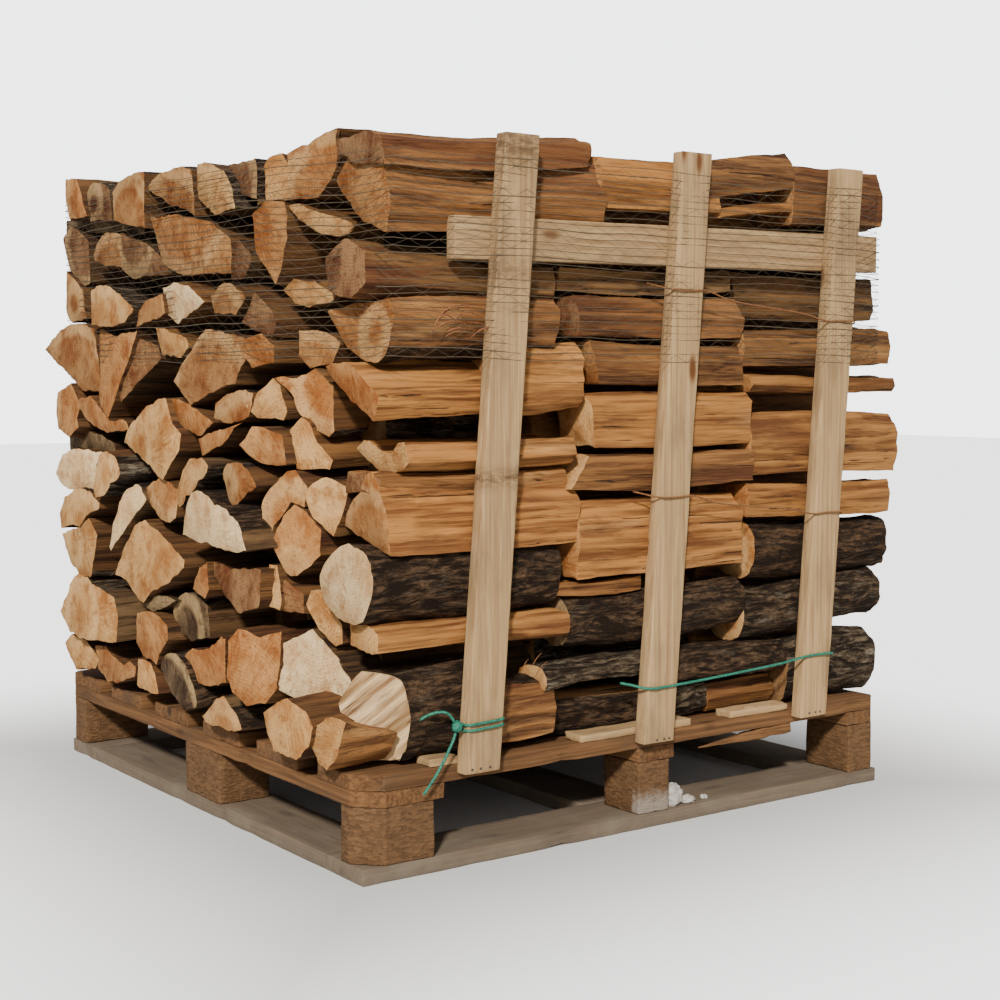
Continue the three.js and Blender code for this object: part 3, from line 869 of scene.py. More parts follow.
# Row 1, the ends that face -X: end tone, side tone, how far it stands proud in cm, and the
# outline on the face plane in cm as (y, z) or (y, z, bulge of the bark that starts there).
LEFT_ENDS = [
    ("tan", "brown", 1.5, [(44.5, 101.2), (39.5, 100.8), (34.8, 94.2), (42, 94, 0.8)]),
    ("reddish", "dark", 1.0, [(34.5, 98, 0.7), (30.5, 99, 0.4), (25.5, 97.5), (24.5, 92.5), (33, 93.2)]),
    ("tan", "brown", 1.6, [(23.5, 97, 0.8), (17, 99.5, 0.4), (12.5, 99), (11.8, 90.5), (19, 91.5),
                           (23, 92.5)]),
    ("tan", "brown", 0.4, [(10.5, 96.5, 0.5), (3, 98.8, 0.4), (-5.5, 98), (-6, 91), (3, 93.5)]),
    ("pale", "brown", 0.3, [(-6.5, 98.5), (-9, 98.8), (-16, 96.5, 0.5), (-20, 91), (-13, 90.5),
                            (-7, 93.5)]),
    ("reddish", "dark", -1.0, [(-17, 97.5), (-25, 97.5, 0.5), (-26, 92), (-19, 93.5)]),
    ("pale", "brown", -1.6, [(-26, 94.5), (-29, 97), (-33, 97.5), (-35, 95.5), (-35, 91), (-26, 91)]),
    ("orange", "brown", -0.6, [(-35, 97), (-40, 98, 0.4), (-48, 98.8), (-48.2, 95), (-43, 90.5),
                               (-35, 91)]),

    ("reddish", "dark", 0.6, [(45, 91), (41, 93), (34.5, 90), (34.5, 83), (38.5, 82.5, 0.6), (43, 86)]),
    ("tan", "brown", 0.2, [(44, 85.5), (37.5, 82), (36.5, 77), (42, 76.5, 0.5), (44.5, 79)]),
    ("orange", "brown", 0.6, [(31.5, 87.5, 0.6), (27, 90.8), (20.5, 90.3), (18, 85), (25, 85), (31, 86.5)]),
    ("brown", "dark", 0.3, [(20, 90), (10, 87.5), (5.5, 85.5), (3, 82.8), (14, 83, 0.8), (20, 84.8)]),
    ("orange", "brown", 0.0, [(8.5, 92), (3, 91.5, 0.4), (-12, 89.5), (-17, 87), (-17, 82), (-5, 82.5, 0.6),
                              (5, 85), (6.5, 88)]),
    ("reddish", "dark", -0.8, [(-17.5, 85.5), (-20, 86.5), (-24, 84), (-22, 81), (-18, 81)]),
    ("orange", "brown", -0.8, [(-23.5, 90), (-28, 91.5), (-33.5, 91), (-34.5, 86), (-33, 81.5), (-31.5, 80),
                               (-25.5, 84.5)]),
    ("pale", "tan", -1.0, [(-35.5, 90), (-38, 90), (-47, 87.8), (-54, 86), (-50, 85.3), (-44, 85.8),
                           (-38, 88)]),

    ("pale", "grey", 1.0, [(33.5, 81.5, 0.5), (27, 82, 0.4), (16.5, 78), (20, 76), (25, 75.3), (33, 76)]),
    ("tan", "brown", 0.2, [(12, 79), (5, 80), (4, 77), (9, 76), (16, 75), (15.5, 77.5)]),
    ("white", "tan", 0.5, [(6, 81), (1, 81.5), (-4, 80.5), (-10, 78.2), (0, 75.3), (5, 77)]),
    ("tan", "brown", 0.0, [(-10.5, 79), (-14, 80.8, 0.4), (-19, 80), (-22.5, 78.3), (-19.5, 76),
                           (-12, 76.5)]),
    ("reddish", "brown", -0.4, [(-20.5, 75), (-24.5, 78.7), (-28, 77.5), (-31.5, 75), (-30, 72.8),
                                (-24, 73.8)]),
    ("pale", "tan", -1.2, [(-32.5, 79), (-36, 80.3), (-42, 79.8), (-46.5, 78), (-47, 77), (-40, 76.5),
                           (-36, 77)]),

    ("orange", "brown", 0.6, [(54.5, 72), (47, 75.5, 0.5), (38, 76), (33, 75.2), (31.5, 70), (31, 65),
                              (38.5, 65), (43, 67), (50, 70)]),
    ("orange", "brown", 0.2, [(31.5, 75), (24, 74), (15, 74.5), (17, 71.5), (22, 66), (26, 60.3), (29, 60),
                              (31, 64)]),
    ("brown", "dark", -0.2, [(14.5, 73.5), (8, 72), (7, 70), (12, 67.5), (21, 63.3), (22, 64.5), (19, 69)]),
    ("pale", "tan", 0.3, [(8, 75), (4, 74.5), (-3, 73.2), (-4, 71.5), (0, 69.8), (6, 70.5)]),
    ("orange", "brown", 0.3, [(0.5, 66.5), (-3, 70), (-9, 74.3, 0.4), (-15, 73.5), (-21.5, 72.5),
                              (-21, 69.5),
                              (-18, 66.5), (-12, 65.2), (-5, 63)]),
    ("tan", "brown", -0.6, [(-22, 72.5), (-27, 73), (-30.5, 71.5), (-30, 69.2), (-24, 68.8), (-21.5, 70)]),
    ("tan", "brown", -0.8, [(-37.5, 73.3, 0.3), (-45, 73), (-48, 71.5), (-46, 69), (-40, 68.3), (-37, 70)]),

    ("tan", "brown", 0.8, [(49.5, 64.5), (44, 66), (39.5, 62), (41, 60), (40.5, 58.5), (44, 57),
                           (48.5, 58, 0.6)]),
    ("tan", "brown", 0.2, [(39.5, 63.5), (34, 63.8), (27, 60), (20, 60), (19.5, 58.7), (28, 58), (35, 59.5),
                           (39, 61.5)]),
    ("pale", "brown", 0.7, [(22, 56.5, 0.8), (17, 60, 0.7), (10, 62.8, 0.5), (5, 63.5), (2, 60),
                            (-1.5, 58.5),
                            (-1, 56), (5, 51.2), (12, 53.5)]),
    ("tan", "brown", 0.0, [(3, 63.7), (0, 64), (-4, 63), (-12, 60.5), (-7, 58.5), (0, 59.5), (2, 61.5)]),
    ("tan", "brown", 0.2, [(-6, 58), (-12, 59.3), (-19, 60), (-15, 57.5), (-8, 55.8)]),
    ("orange", "brown", -0.3, [(-11, 61), (-12, 63.5), (-17, 64.7, 0.3), (-25, 65.2), (-23, 61.5),
                               (-15, 60.3)]),
    ("pale", "brown", -0.2, [(-21.5, 63), (-26, 65.5), (-30, 67.2), (-32, 66), (-34, 62.5), (-33, 61.3),
                             (-25, 61.5)]),
    ("tan", "brown", -0.4, [(-31, 67), (-37, 67.3), (-42, 68.3), (-46.5, 66), (-46, 60.3, 0.5),
                            (-43, 60, 0.8),
                            (-36, 64.5)]),
    ("tan", "brown", 0.4, [(-20, 57.5), (-24, 60.3), (-28, 60), (-33, 59.3), (-34, 55.3), (-27, 55),
                           (-22, 56.5)]),
    ("pale", "tan", -0.2, [(-34.5, 60), (-38, 61.7), (-40, 61), (-42, 58.5), (-46, 56.3), (-45, 55),
                           (-36, 54.8)]),

    ("white", "orange", 0.8, [(50.5, 50), (47, 53.5), (42, 54.8), (31, 54.5), (33, 52), (33.5, 47.5),
                              (40, 47.3),
                              (47, 47.8)]),
    ("pale", "brown", 3.0, [(33.5, 48.5), (32, 52.5, 0.6), (28.5, 54.7), (25, 54, 0.5), (23.2, 51.2, 0.5),
                            (27, 49.5, 0.4), (30, 47.2), (33, 47)]),
    ("tan", "brown", 0.4, [(13, 49.5), (8, 51.5), (3, 50.8), (0, 50), (1, 45.5, 0.8), (8, 45.5),
                           (12, 47.5)]),
    ("pale", "grey", 1.4, [(1.5, 49), (-1, 53), (-3.5, 54.8), (-7.5, 55), (-9.5, 54, 0.6), (-6, 51.8, 0.5),
                           (-2, 49, 0.5), (0.5, 47)]),
    ("orange", "brown", 0.2, [(-14, 53, 0.6), (-17, 54.2, 0.5), (-21.5, 54.3), (-25, 52.5), (-25.5, 51.7),
                              (-22.5, 51), (-17, 47.6), (-16, 48.5)]),
    ("tan", "brown", 0.5, [(-26, 49, 0.5), (-31, 52.5, 0.4), (-36, 54.8), (-39.5, 52.5), (-39, 49.5),
                           (-35, 50),
                           (-30, 46.5), (-29, 45), (-26.5, 46.5)]),
    ("pale", "brown", 0.2, [(-38.5, 51.5), (-42, 53.5, 0.3), (-46, 54), (-50.5, 53), (-49, 50.5),
                            (-46, 46.5),
                             (-44, 47), (-41, 48.5)]),
    ("tan", "brown", 0.6, [(-29, 44), (-33, 48), (-36, 50), (-39, 49), (-43, 47), (-42.5, 43.5), (-40, 42),
                           (-36, 40.3, 0.5), (-32, 41.3)]),

    ("pale", "brown", 1.6, [(50, 43), (48, 46), (43, 47.4, 0.3), (35, 47.3), (31, 46), (31, 45), (37, 43.5),
                            (40, 41.5), (49, 40.5)]),
    ("pale", "brown", 1.6, [(49, 39.5), (40, 41.5), (36, 43), (32, 40.5), (33, 38.5), (35, 34, 0.6),
                            (37, 33, 0.4), (43, 33.8, 0.8), (47, 36.5)]),
    ("white", "grey", 1.0, [(26, 39), (25, 43), (23, 46.5, 0.5), (19, 49, 0.4), (15.5, 49.3), (13.5, 47.5),
                            (17, 45), (21, 42), (25.5, 38.5)]),
    ("pale", "brown", 0.8, [(26.8, 34.3), (24, 38.5), (18.5, 43), (14, 44), (8, 42.8), (2, 41), (-3, 39.5),
                            (-3, 38), (3, 35.5), (10, 33.5), (14, 31), (18, 32), (22, 33.8)]),
    ("white", "grey", 2.4, [(0, 43), (-1.5, 46.5, 0.4), (-3.5, 49, 0.4), (-7, 50, 0.5), (-12, 48.2, 0.5),
                            (-17, 47, 0.4), (-20.5, 45), (-21.8, 42.3), (-20, 41.8), (-12, 42.2),
                            (-5, 42.6)]),

    ("orange", "brown", -0.2, [(-3.5, 35), (-6.5, 38.5), (-9.5, 39.7), (-9.5, 35.5), (-8, 33.8)]),
    ("brown", "brown", 0.0, [(-10, 39.8), (-16, 39.3), (-21, 40), (-26.5, 40), (-26, 35), (-20, 33),
                             (-15, 34.8), (-10.5, 37.5)]),
    ("pale", "brown", 0.4, [(-28, 41), (-30.5, 41.2), (-32, 36.5), (-31.5, 35), (-26.3, 35.3)]),
    ("brown", "brown", -0.4, [(-31.5, 38.5), (-33, 39.5), (-38, 37.8), (-38.5, 35.2), (-32, 35)]),
    ("pale", "brown", 0.4, [(-38, 36.5), (-39.5, 38.5), (-44, 38.8), (-45.5, 36.5), (-48.5, 35),
                            (-49, 32.5),
                            (-47, 31.8), (-42, 33.5)]),

    ("pale", "grey", 1.4, [(49.5, 25.5), (45.5, 30.5, 0.6), (40.5, 33.2, 0.4), (36, 31.5, 0.3), (30, 30.8),
                           (26.5, 30.5), (25, 27.5), (25.3, 23), (30, 22.3), (40, 22), (45, 22.5)]),
    ("pale", "brown", 0.6, [(48, 20), (44.5, 22.3), (38, 21.5), (33, 19), (35, 17.2), (43, 16)]),
    ("orange", "brown", 0.4, [(34.5, 21), (30, 21.8), (28, 20.5), (22, 19.7), (20, 20.5), (17.5, 20),
                              (18, 18.3), (23, 17), (29, 15.8), (33, 17.5)]),
    ("tan", "brown", 0.6, [(16.5, 29), (10, 30), (5, 28.3), (5.3, 26), (8, 23.5), (10, 21.5), (15, 22.2),
                           (17.5, 24)]),
    ("pale", "brown", 0.3, [(17.5, 17), (17, 21.5), (11.5, 21.5), (9.5, 19.5), (8.5, 17), (14, 16.5)]),
    ("grey", "grey", -0.3, [(14, 30.8), (8, 32.8), (2.5, 32.5), (10, 30)]),
    ("dark", "dark", -1.6, [(3, 31, 0.6), (-1, 34, 0.6), (-9, 33), (-9.5, 28), (-3, 27), (2, 28.5)]),
    ("dark", "dark", 0.6, [(8, 21, 0.4), (6, 23.5, 0.5), (1, 24.3, 0.6), (-4.5, 19.5, 0.4), (-4.5, 17),
                           (-1, 15.8), (4, 17.5)]),
    ("orange", "brown", 0.2, [(0.5, 23.5), (-3, 25.5), (-9.5, 26.5), (-14, 29), (-15.5, 29), (-14.7, 22.3),
                              (-10, 21), (-4, 20.3)]),
    ("orange", "brown", 0.8, [(-15, 23), (-15.5, 28.5), (-19, 30.7), (-26, 30.5), (-33, 32.3), (-32, 28),
                              (-31, 23.8), (-27, 21.3), (-21, 19.7), (-16.5, 21)]),
    ("white", "dark", 0.6, [(-31.5, 30), (-36, 31.7), (-41.5, 33.5), (-46, 31.5), (-53, 28.3), (-50, 25.3),
                            (-42, 23.2), (-35, 23), (-30.8, 23.7), (-30.5, 27)]),

    ("tan", "grey", 1.2, [(-7, 16), (-11, 19), (-14, 20.2), (-16, 18.8, 0.4), (-19.5, 16), (-17, 15.2),
                          (-8, 15.2)]),
    ("dark", "dark", -1.5, [(43.5, 94), (34, 93.8), (24, 92.4), (13, 90.8), (12, 89.8), (20, 90.4),
                            (33, 91.2),
                            (43.5, 91.4)]),
    ("dark", "dark", -1.5, [(44.5, 58), (38, 58.2), (30, 57.5), (24, 56), (24, 54), (32, 54.8), (40, 55),
                            (44.5, 54.5)]),
    ("pale", "brown", 2.0, [(-26.5, 19.5), (-30, 22), (-33, 22.8), (-39, 21.5), (-40.5, 20), (-39.5, 17.2),
                            (-36, 14.9), (-33, 14.7), (-29.5, 14.8), (-27.5, 17)]),
]

# The front logs of each row, whose long sides show: end tone, side tone, both ends' X in cm, the
# rise in cm from the left end to the right, the swelling towards the right, the slant of the left
# end, and the outline as (depth behind the front face, z, bark bulge) in cm.
FRONT_LOGS = [
    ("orange", "reddish", -45, -8.6, 2.6, 1.02, (0, 0),
     [(14.4, 93.9), (10.8, 97.2), (2.4, 95.3), (0.6, 90), (1.8, 86.2), (8.2, 87.9)]),
    ("reddish", "reddish", -45.8, -11, 1.9, 1.0, (0, 0),
     [(1.2, 94.9), (1.5, 98.2), (5, 99.3), (12, 99.4), (13, 97.6), (8, 95.4)]),
    ("reddish", "dark", -47.7, -16, -0.6, 0.95, (0, 0),
     [(2.7, 79.6), (3, 83.6), (8, 85.5), (13, 83.5), (12, 78.6), (6, 77.6)]),
    ("tan", "reddish", -45, -17, 0.3, 0.98, (0, 0),
     [(16.3, 76.2), (1.6, 77.8), (0.4, 76), (1.6, 71, 0.5), (4.8, 69.3, 0.4), (9.9, 70.7, 0.3),
      (13.5, 73.4)]),
    ("orange", "orange", -47.5, -24, 0.5, 1.0, (0, 0),
     [(12.9, 68.6), (7, 69.2), (0.3, 64.6), (1.6, 61.5), (7.5, 64.6)]),
    ("tan", "tan", -27.5, -12.4, 0.3, 0.92, (0, 0),
     [(0.2, 64), (0.3, 69.5), (2.5, 72), (6, 72), (10, 69), (10, 63), (2, 62)]),
    ("pale", "orange", -43, -14, 0.4, 1.0, (0, 0),
     [(12.4, 57.4), (10.6, 58.5), (6.4, 57.3), (3.9, 57.2), (2.4, 58.5), (0.9, 58.6), (0.2, 56),
      (1.6, 54.6),
      (5.6, 54.0)]),
    ("brown", "brown", -46, -14.4, 0, 1.0, (0, 0),
     [(2.2, 51.9), (1.6, 53.6), (4, 54.3), (10, 54.2), (11, 51.4)]),
    ("tan", "orange", -45.6, -13.4, -0.6, 0.92, (0, -0.16),
     [(12.7, 46.7, 0.8), (7.4, 51.8, 0.5), (3.6, 54.4), (2.6, 53.6), (0.2, 49.4), (0.4, 43.7), (6, 45)]),
    ("white", "dark", -48.7, -16.4, -0.3, 0.9, (0, 0),
     [(12.7, 40.3, 0.6), (7.3, 44.8, 0.5), (2.4, 44.4, 0.5), (0.3, 41.8, 0.3), (0.3, 39, 0.4),
      (2.1, 35.2, 0.3),
      (5.5, 34.6, 0.4), (10.8, 36.4, 0.4)]),
    ("pale", "tan", -47.2, -15.4, -0.4, 1.0, (0, 0),
     [(0.4, 30.8), (0.3, 33.4), (3, 34.2), (8, 34.0), (8, 31), (2, 30.5)]),
    ("torn", "white", -44, -28, 0.6, 1.0, (-1.1, -0.15),
     [(3, 15.2, 0.5), (0.9, 20.5, 0.7), (2.2, 26.2, 0.5), (6, 27.6, 0.3), (8.6, 23), (8, 15.4), (6, 14.9)]),
    ("pale", "brown", -52.7, -43.4, -1.6, 0.5, (0, 0),
     [(10.2, 19.8), (6.8, 21.3), (2.8, 22.6), (-0.1, 22.3), (1.8, 17.8), (4.6, 15.2), (6.8, 15.8),
      (8.8, 17.8)]),
    ("tan", "brown", -26.4, -17, 0, 0.95, (0, 0),
     [(1.6, 16), (0.6, 20), (1.8, 24.2, 0.4), (6, 24.6), (8, 19), (6, 15)]),

    ("tan", "orange", -9.4, 13.6, 0.6, 1.0, (0, 0), [(0.9, 91.3), (0.3, 95), (1.5, 98.6), (8, 99.4),
                                                     (10, 92)]),
    ("tan", "brown", 10.6, 29.4, 2.6, 1.0, (0, 0), [(0.7, 93.9), (0.3, 96.2), (2, 99.6), (8, 99.6),
                                                    (8, 94.8)]),
    ("pale", "orange", 13.8, 31.2, 2.0, 1.0, (0, 0), [(1, 91.2), (1, 92.6), (5, 92.8), (5.2, 91.3)]),
    ("reddish", "dark", -15.4, 18, 0.6, 1.0, (0, 0), [(3, 79.5), (2.8, 82.6), (9, 83.6), (11, 79.6)]),
    ("reddish", "reddish", -13.8, 18.2, 0, 1.0, (0, 0),
     [(0.6, 73.2), (0.3, 76), (1.8, 78.8), (8, 79), (9, 73.3)]),
    ("tan", "brown", -10.4, 18.6, -0.4, 0.95, (0, -0.3), [(0.5, 66.2), (0.2, 70), (1, 72.4), (8, 72),
                                                          (8, 66.4)]),
    ("pale", "orange", -11.2, 20.4, 0.5, 1.03, (0, -0.1), [(0.4, 57), (0.2, 63.4), (2.2, 64.8), (8, 64),
                                                           (8, 57.6)]),
    ("pale", "brown", -13.2, 21.4, 0, 1.0, (0, 0.6), [(0.6, 51.1), (0.2, 53.4), (0.4, 56), (6, 56.2),
                                                      (7, 51.6)]),
    ("tan", "orange", -13.4, 18.8, -0.2, 1.0, (0, 0),
     [(0.5, 38.4), (0.2, 43), (0.5, 46.4), (2.7, 49.5), (11, 49), (11, 38.4)]),
    ("tan", "brown", -16.4, -1, -0.4, 1.0, (0, 0), [(1.6, 35.9), (1.2, 38), (7, 38.2), (7, 36)]),
    ("grey", "grey", -15, 19.4, 0.4, 1.0, (0, 0),
     [(1.2, 29.6, 0.3), (0.4, 32.3, 0.3), (1.4, 34.9, 0.4), (4.4, 35.9, 0.5), (8.6, 34.2, 0.5),
      (9, 31, 0.4),
      (6, 28.8, 0.4), (3, 28.7, 0.3)]),
    ("pale", "grey", -19.2, 3.6, 0.4, 1.0, (0, 0),
     [(1.2, 22.9, 0.3), (0.9, 24.4, 0.4), (2.4, 25.8, 0.3), (7, 25.4), (7, 23)]),
    ("tan", "grey", 3.8, 29.8, -0.6, 0.9, (0, 0),
     [(1.4, 21.2, 0.4), (0.7, 23.4, 0.5), (2.2, 25.7, 0.4), (6, 26, 0.4), (8, 23, 0.4), (6, 21, 0.3)]),
    ("pale", "dark", -20.6, 2.6, -0.4, 1.0, (0, 0),
     [(4.6, 15, 0.3), (3.8, 18, 0.5), (4.2, 20.4), (6, 21.4), (12, 21), (12, 15)]),
    ("tan", "dark", 4.2, 15.4, 0, 0.95, (0, 0),
     [(4.8, 15, 0.4), (3.8, 17.6, 0.5), (5, 20.2, 0.4), (9, 20.6, 0.5), (12, 17, 0.4), (9, 14.8, 0.3)]),
    ("tan", "brown", 15.8, 29.6, 0.3, 1.0, (0, 0), [(4.8, 15), (3.9, 17), (4.8, 19.2), (11, 19.6),
                                                    (12, 15)]),

    ("tan", "reddish", 29.6, 50, 0.2, 1.0, (0, 0), [(1, 91.1), (0.5, 96), (1.4, 100), (9, 100.2),
                                                    (9, 91.1)]),
    ("brown", "dark", 19.5, 51.4, 0, 1.0, (0, 0), [(3.2, 85), (2.8, 88), (5, 90.2), (10, 90.2), (11, 85)]),
    ("dark", "dark", 19.4, 51.4, 0, 1.0, (0, 0), [(3.8, 76.7), (3.4, 80), (4, 83.4), (10, 83.6),
                                                  (10, 76.9)]),
    ("tan", "brown", 18.8, 52.2, 0.8, 1.03, (0, 0), [(0.7, 68.6), (0.2, 71.6), (1, 74.2), (8, 74.8),
                                                     (8, 68.8)]),
    ("pale", "tan", 20.8, 54.4, 0, 0.85, (0, 0), [(0.2, 66.1), (1, 67.5), (7, 67.6), (6, 65), (1.2, 64.9)]),
    ("tan", "tan", 20.6, 54.4, -0.3, 0.98, (0, 0), [(0.8, 52), (0.2, 56), (0.6, 60), (2.4, 61.7),
                                                    (9, 61.2), (9, 52)]),
    ("tan", "orange", 20.4, 53.2, -0.4, 0.95, (0, 0), [(1, 45.6), (0.3, 48.4), (1.4, 50.9), (8, 50.5),
                                                       (8, 46)]),
    ("pale", "dark", 21.6, 53, -0.6, 0.88, (0, 0),
     [(1.2, 37.6, 0.4), (0.4, 41, 0.5), (1.8, 44.1, 0.5), (5.2, 44.8, 0.5), (9, 42, 0.6), (9, 38, 0.5),
      (5.4, 35.8, 0.4), (2.6, 36, 0.3)]),
    ("tan", "dark", 19.4, 51, 1.6, 0.95, (0, 0),
     [(1.2, 27.4, 0.4), (0.4, 30.4, 0.5), (1.8, 33.3, 0.4), (5, 34.2, 0.5), (9, 31, 0.6), (7, 26.8, 0.4),
      (3, 26, 0.3)]),
    ("brown", "dark", 30.4, 51, 0, 0.97, (0, 0),
     [(2.6, 16, 0.4), (1.4, 20, 0.6), (2.8, 24.2, 0.5), (6.5, 25.4, 0.5), (10.4, 21, 0.6), (9, 15.4, 0.3),
      (4.6, 14.8, 0.3)]),
]


CORNER_Y = -0.22                           # where the slope towards the front corner starts
CORNER_TURN = -0.45                        # how far the ends there go back along X for each metre of Y
PAINTED_GAP_SHADE = 0.46                           # painted shade on row 1's split sides, seen only in the gaps between ends, so the gaps look deep
PAINTED_NET_SHADE = 0.96                          # painted shade on row 1's ends behind the net
OPEN_END = 1.08                            # row 1's ends below the net, a little lighter than their tones
ROW_SHADES = (1.08, 0.98, 0.82)            # shade of the front logs' long sides, row by row
INNER_BACK = 0.13                          # how far row 1's inner logs lie behind its face
# painted shade on the sides and on the ends of row 1's inner logs, seen in the gaps between the drawn ends
PAINTED_INNER_SHADE = (0.32, 0.26)
ROOM = (0.125, 0.105)                      # about how wide and how high the room of an inner log is
INNER_FRONT = -0.385                       # where the inner logs start, behind the drawn front logs
INNER_END = (0.487, 0.992)                 # how far back and how high they reach


def row_1_ends(courses, draws):
    """The log ends of the left face, cut back in a slope towards the front corner."""
    for end, side, proud, drawn in LEFT_ENDS:
        height = sum(point[1] for point in drawn) / len(drawn) * CM
        nearest = min(point[0] for point in drawn) * CM
        number = course_at(height)
        low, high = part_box(f"logs_row_1_course_{number}")
        x = low.x - proud * CM + draws.uniform(-0.003, 0.003)
        turn = CORNER_TURN if nearest < CORNER_Y - 0.07 and height > 0.21 else 0.0
        outline = []
        for y, z, *bulge in drawn:
            place = on_end(y, z, x, turn, CORNER_Y)
            outline.append((*place, *(value * CM for value in bulge)))
        middle = sum(point[0] for point in outline) / len(outline)
        # painted shade on its sides, seen in the gaps, and on its ends behind the net
        log(courses[1, number], outline, x + turn * (middle - CORNER_Y), high.x - draws.uniform(0.0, 0.012),
            end, side, draws, swell=draws.uniform(0.99, 1.05), slant=(turn, 0.0),
            shade=(PAINTED_GAP_SHADE, PAINTED_NET_SHADE if height > NET_FOOT else OPEN_END))


def front_logs(courses, draws):
    """The logs whose long sides make the front face, each in the row its middle falls in."""
    splits = [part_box("logs_row_2_course_3")[0].x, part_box("logs_row_3_course_3")[0].x]
    for end, side, left, right, rise, swell, slant, drawn in FRONT_LOGS:
        heights = [point[1] for point in drawn]
        number = course_at(sum(heights) / len(heights) * CM)
        middle = (left + right) / 2 * CM
        row = 1 + sum(middle > split for split in splits)
        outline = [(FRONT_Y + depth * CM, z * CM, *(value * CM for value in bulge))
                   for depth, z, *bulge in drawn]
        log(courses[row, number], outline, left * CM, right * CM, end, side, draws,
            rise=rise * CM, swell=swell, slant=slant, shade=(ROW_SHADES[row - 1], 1.0))


def cell(place, others, low, high):
    """The outline of the room round one point, between its neighbours and the row's bounds."""
    bm = bmesh.new()
    corners = ((low[0], low[1]), (high[0], low[1]), (high[0], high[1]), (low[0], high[1]))
    bm.faces.new([bm.verts.new((y, z, 0.0)) for y, z in corners])
    for other in others:
        away = Vector((other[0] - place[0], other[1] - place[1], 0.0))
        if 0.0 < away.length < 0.34:
            half = Vector((place[0], place[1], 0.0)) + away / 2
            bmesh.ops.bisect_plane(bm, geom=bm.faces[:] + bm.edges[:] + bm.verts[:], plane_co=half,
                                   plane_no=away, clear_outer=True)
    return bm


def outline_of(bm, gap):
    """The outline of the flat face in bm, drawn in a little on all sides."""
    bm.faces.ensure_lookup_table()
    points = [vert.co.xy for vert in bm.faces[0].verts]
    middle = sum(points, Vector((0.0, 0.0))) / len(points)
    return [tuple(point + (middle - point).normalized() * gap) for point in points], middle


def inner_logs(courses, row, low, high, draws):
    """The rest of a row: logs in the rooms between jittered points, half of them split in two."""
    across = round((high[0] - low[0]) / ROOM[0])
    upward = round((high[1] - low[1]) / ROOM[1])
    places = []
    for i in range(across):
        for j in range(upward):
            y = low[0] + (i + 0.5 + draws.uniform(-0.32, 0.32) + (0.25 if j % 2 else -0.25)) \
                * (high[0] - low[0]) / across
            z = low[1] + (j + 0.5 + draws.uniform(-0.3, 0.3)) * (high[1] - low[1]) / upward
            places.append((y, z))
    for place in places:
        room = cell(place, places, low, high)
        halves = [room]
        if draws.random() < 0.5:
            other = room.copy()
            angle = draws.uniform(0.0, math.tau)
            centre = outline_of(room, 0.0)[1].to_3d()
            for bm, outer in ((room, True), (other, False)):
                bmesh.ops.bisect_plane(bm, geom=bm.faces[:] + bm.edges[:] + bm.verts[:], plane_co=centre,
                                       plane_no=(math.cos(angle), math.sin(angle), 0.0),
                                       clear_outer=outer, clear_inner=not outer)
            halves = [room, other]
        for bm in halves:
            if bm.faces:
                inner_log(courses, row, bm, high, draws)
            bm.free()


def inner_log(courses, row, bm, high, draws):
    """One log in the room that bm outlines; row 1's lie back behind the drawn ends, darkened by painted
    shade.
    """
    points, middle = outline_of(bm, draws.uniform(0.002, 0.005))
    outer = (middle.x > high[0] - 0.13 or middle.y > high[1] - 0.12 or row == 3)
    longest = max(range(len(points)), key=lambda i: (Vector(points[i])
                                                     - Vector(points[(i + 1) % len(points)])).length)
    barky = draws.random() < 0.55
    outline = [(y, z, 0.005 if barky and i == longest else 0.0) for i, (y, z) in enumerate(points)]
    number = course_at(middle.y)
    left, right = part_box(f"logs_row_{row}_course_{number}")
    end, side = draws.choice((("tan", "brown"), ("orange", "brown"), ("pale", "tan"), ("tan", "orange"),
                              ("pale", "brown"), ("orange", "reddish")))
    proud = draws.uniform(-0.014, 0.004) if row == 3 else draws.uniform(-0.012, 0.0)
    back = draws.uniform(0.0, 0.01)
    shade = (1.0, 1.0)
    if row == 1:
        # painted shade on row 1's inner logs, which are seen only in the gaps
        back, shade, outer = INNER_BACK, PAINTED_INNER_SHADE, False
    log(courses[row, number], outline, left.x + back, right.x + proud, end, side, draws,
        swell=draws.uniform(0.94, 1.0), fine=outer, shade=shade)


def firewood():
    draws = random.Random(41)
    courses = {(row, number): Course() for row in (1, 2, 3) for number in range(1, 6)}
    row_1_ends(courses, draws)
    front_logs(courses, draws)
    for row in (1, 2, 3):
        inner_logs(courses, row, (INNER_FRONT, DECK_TOP + 0.002), INNER_END, draws)
    for (row, number), course in courses.items():
        course.finish(f"logs_row_{row}_course_{number}")


# ---------------------------------------------------------------- pallet, battens, rails and laths

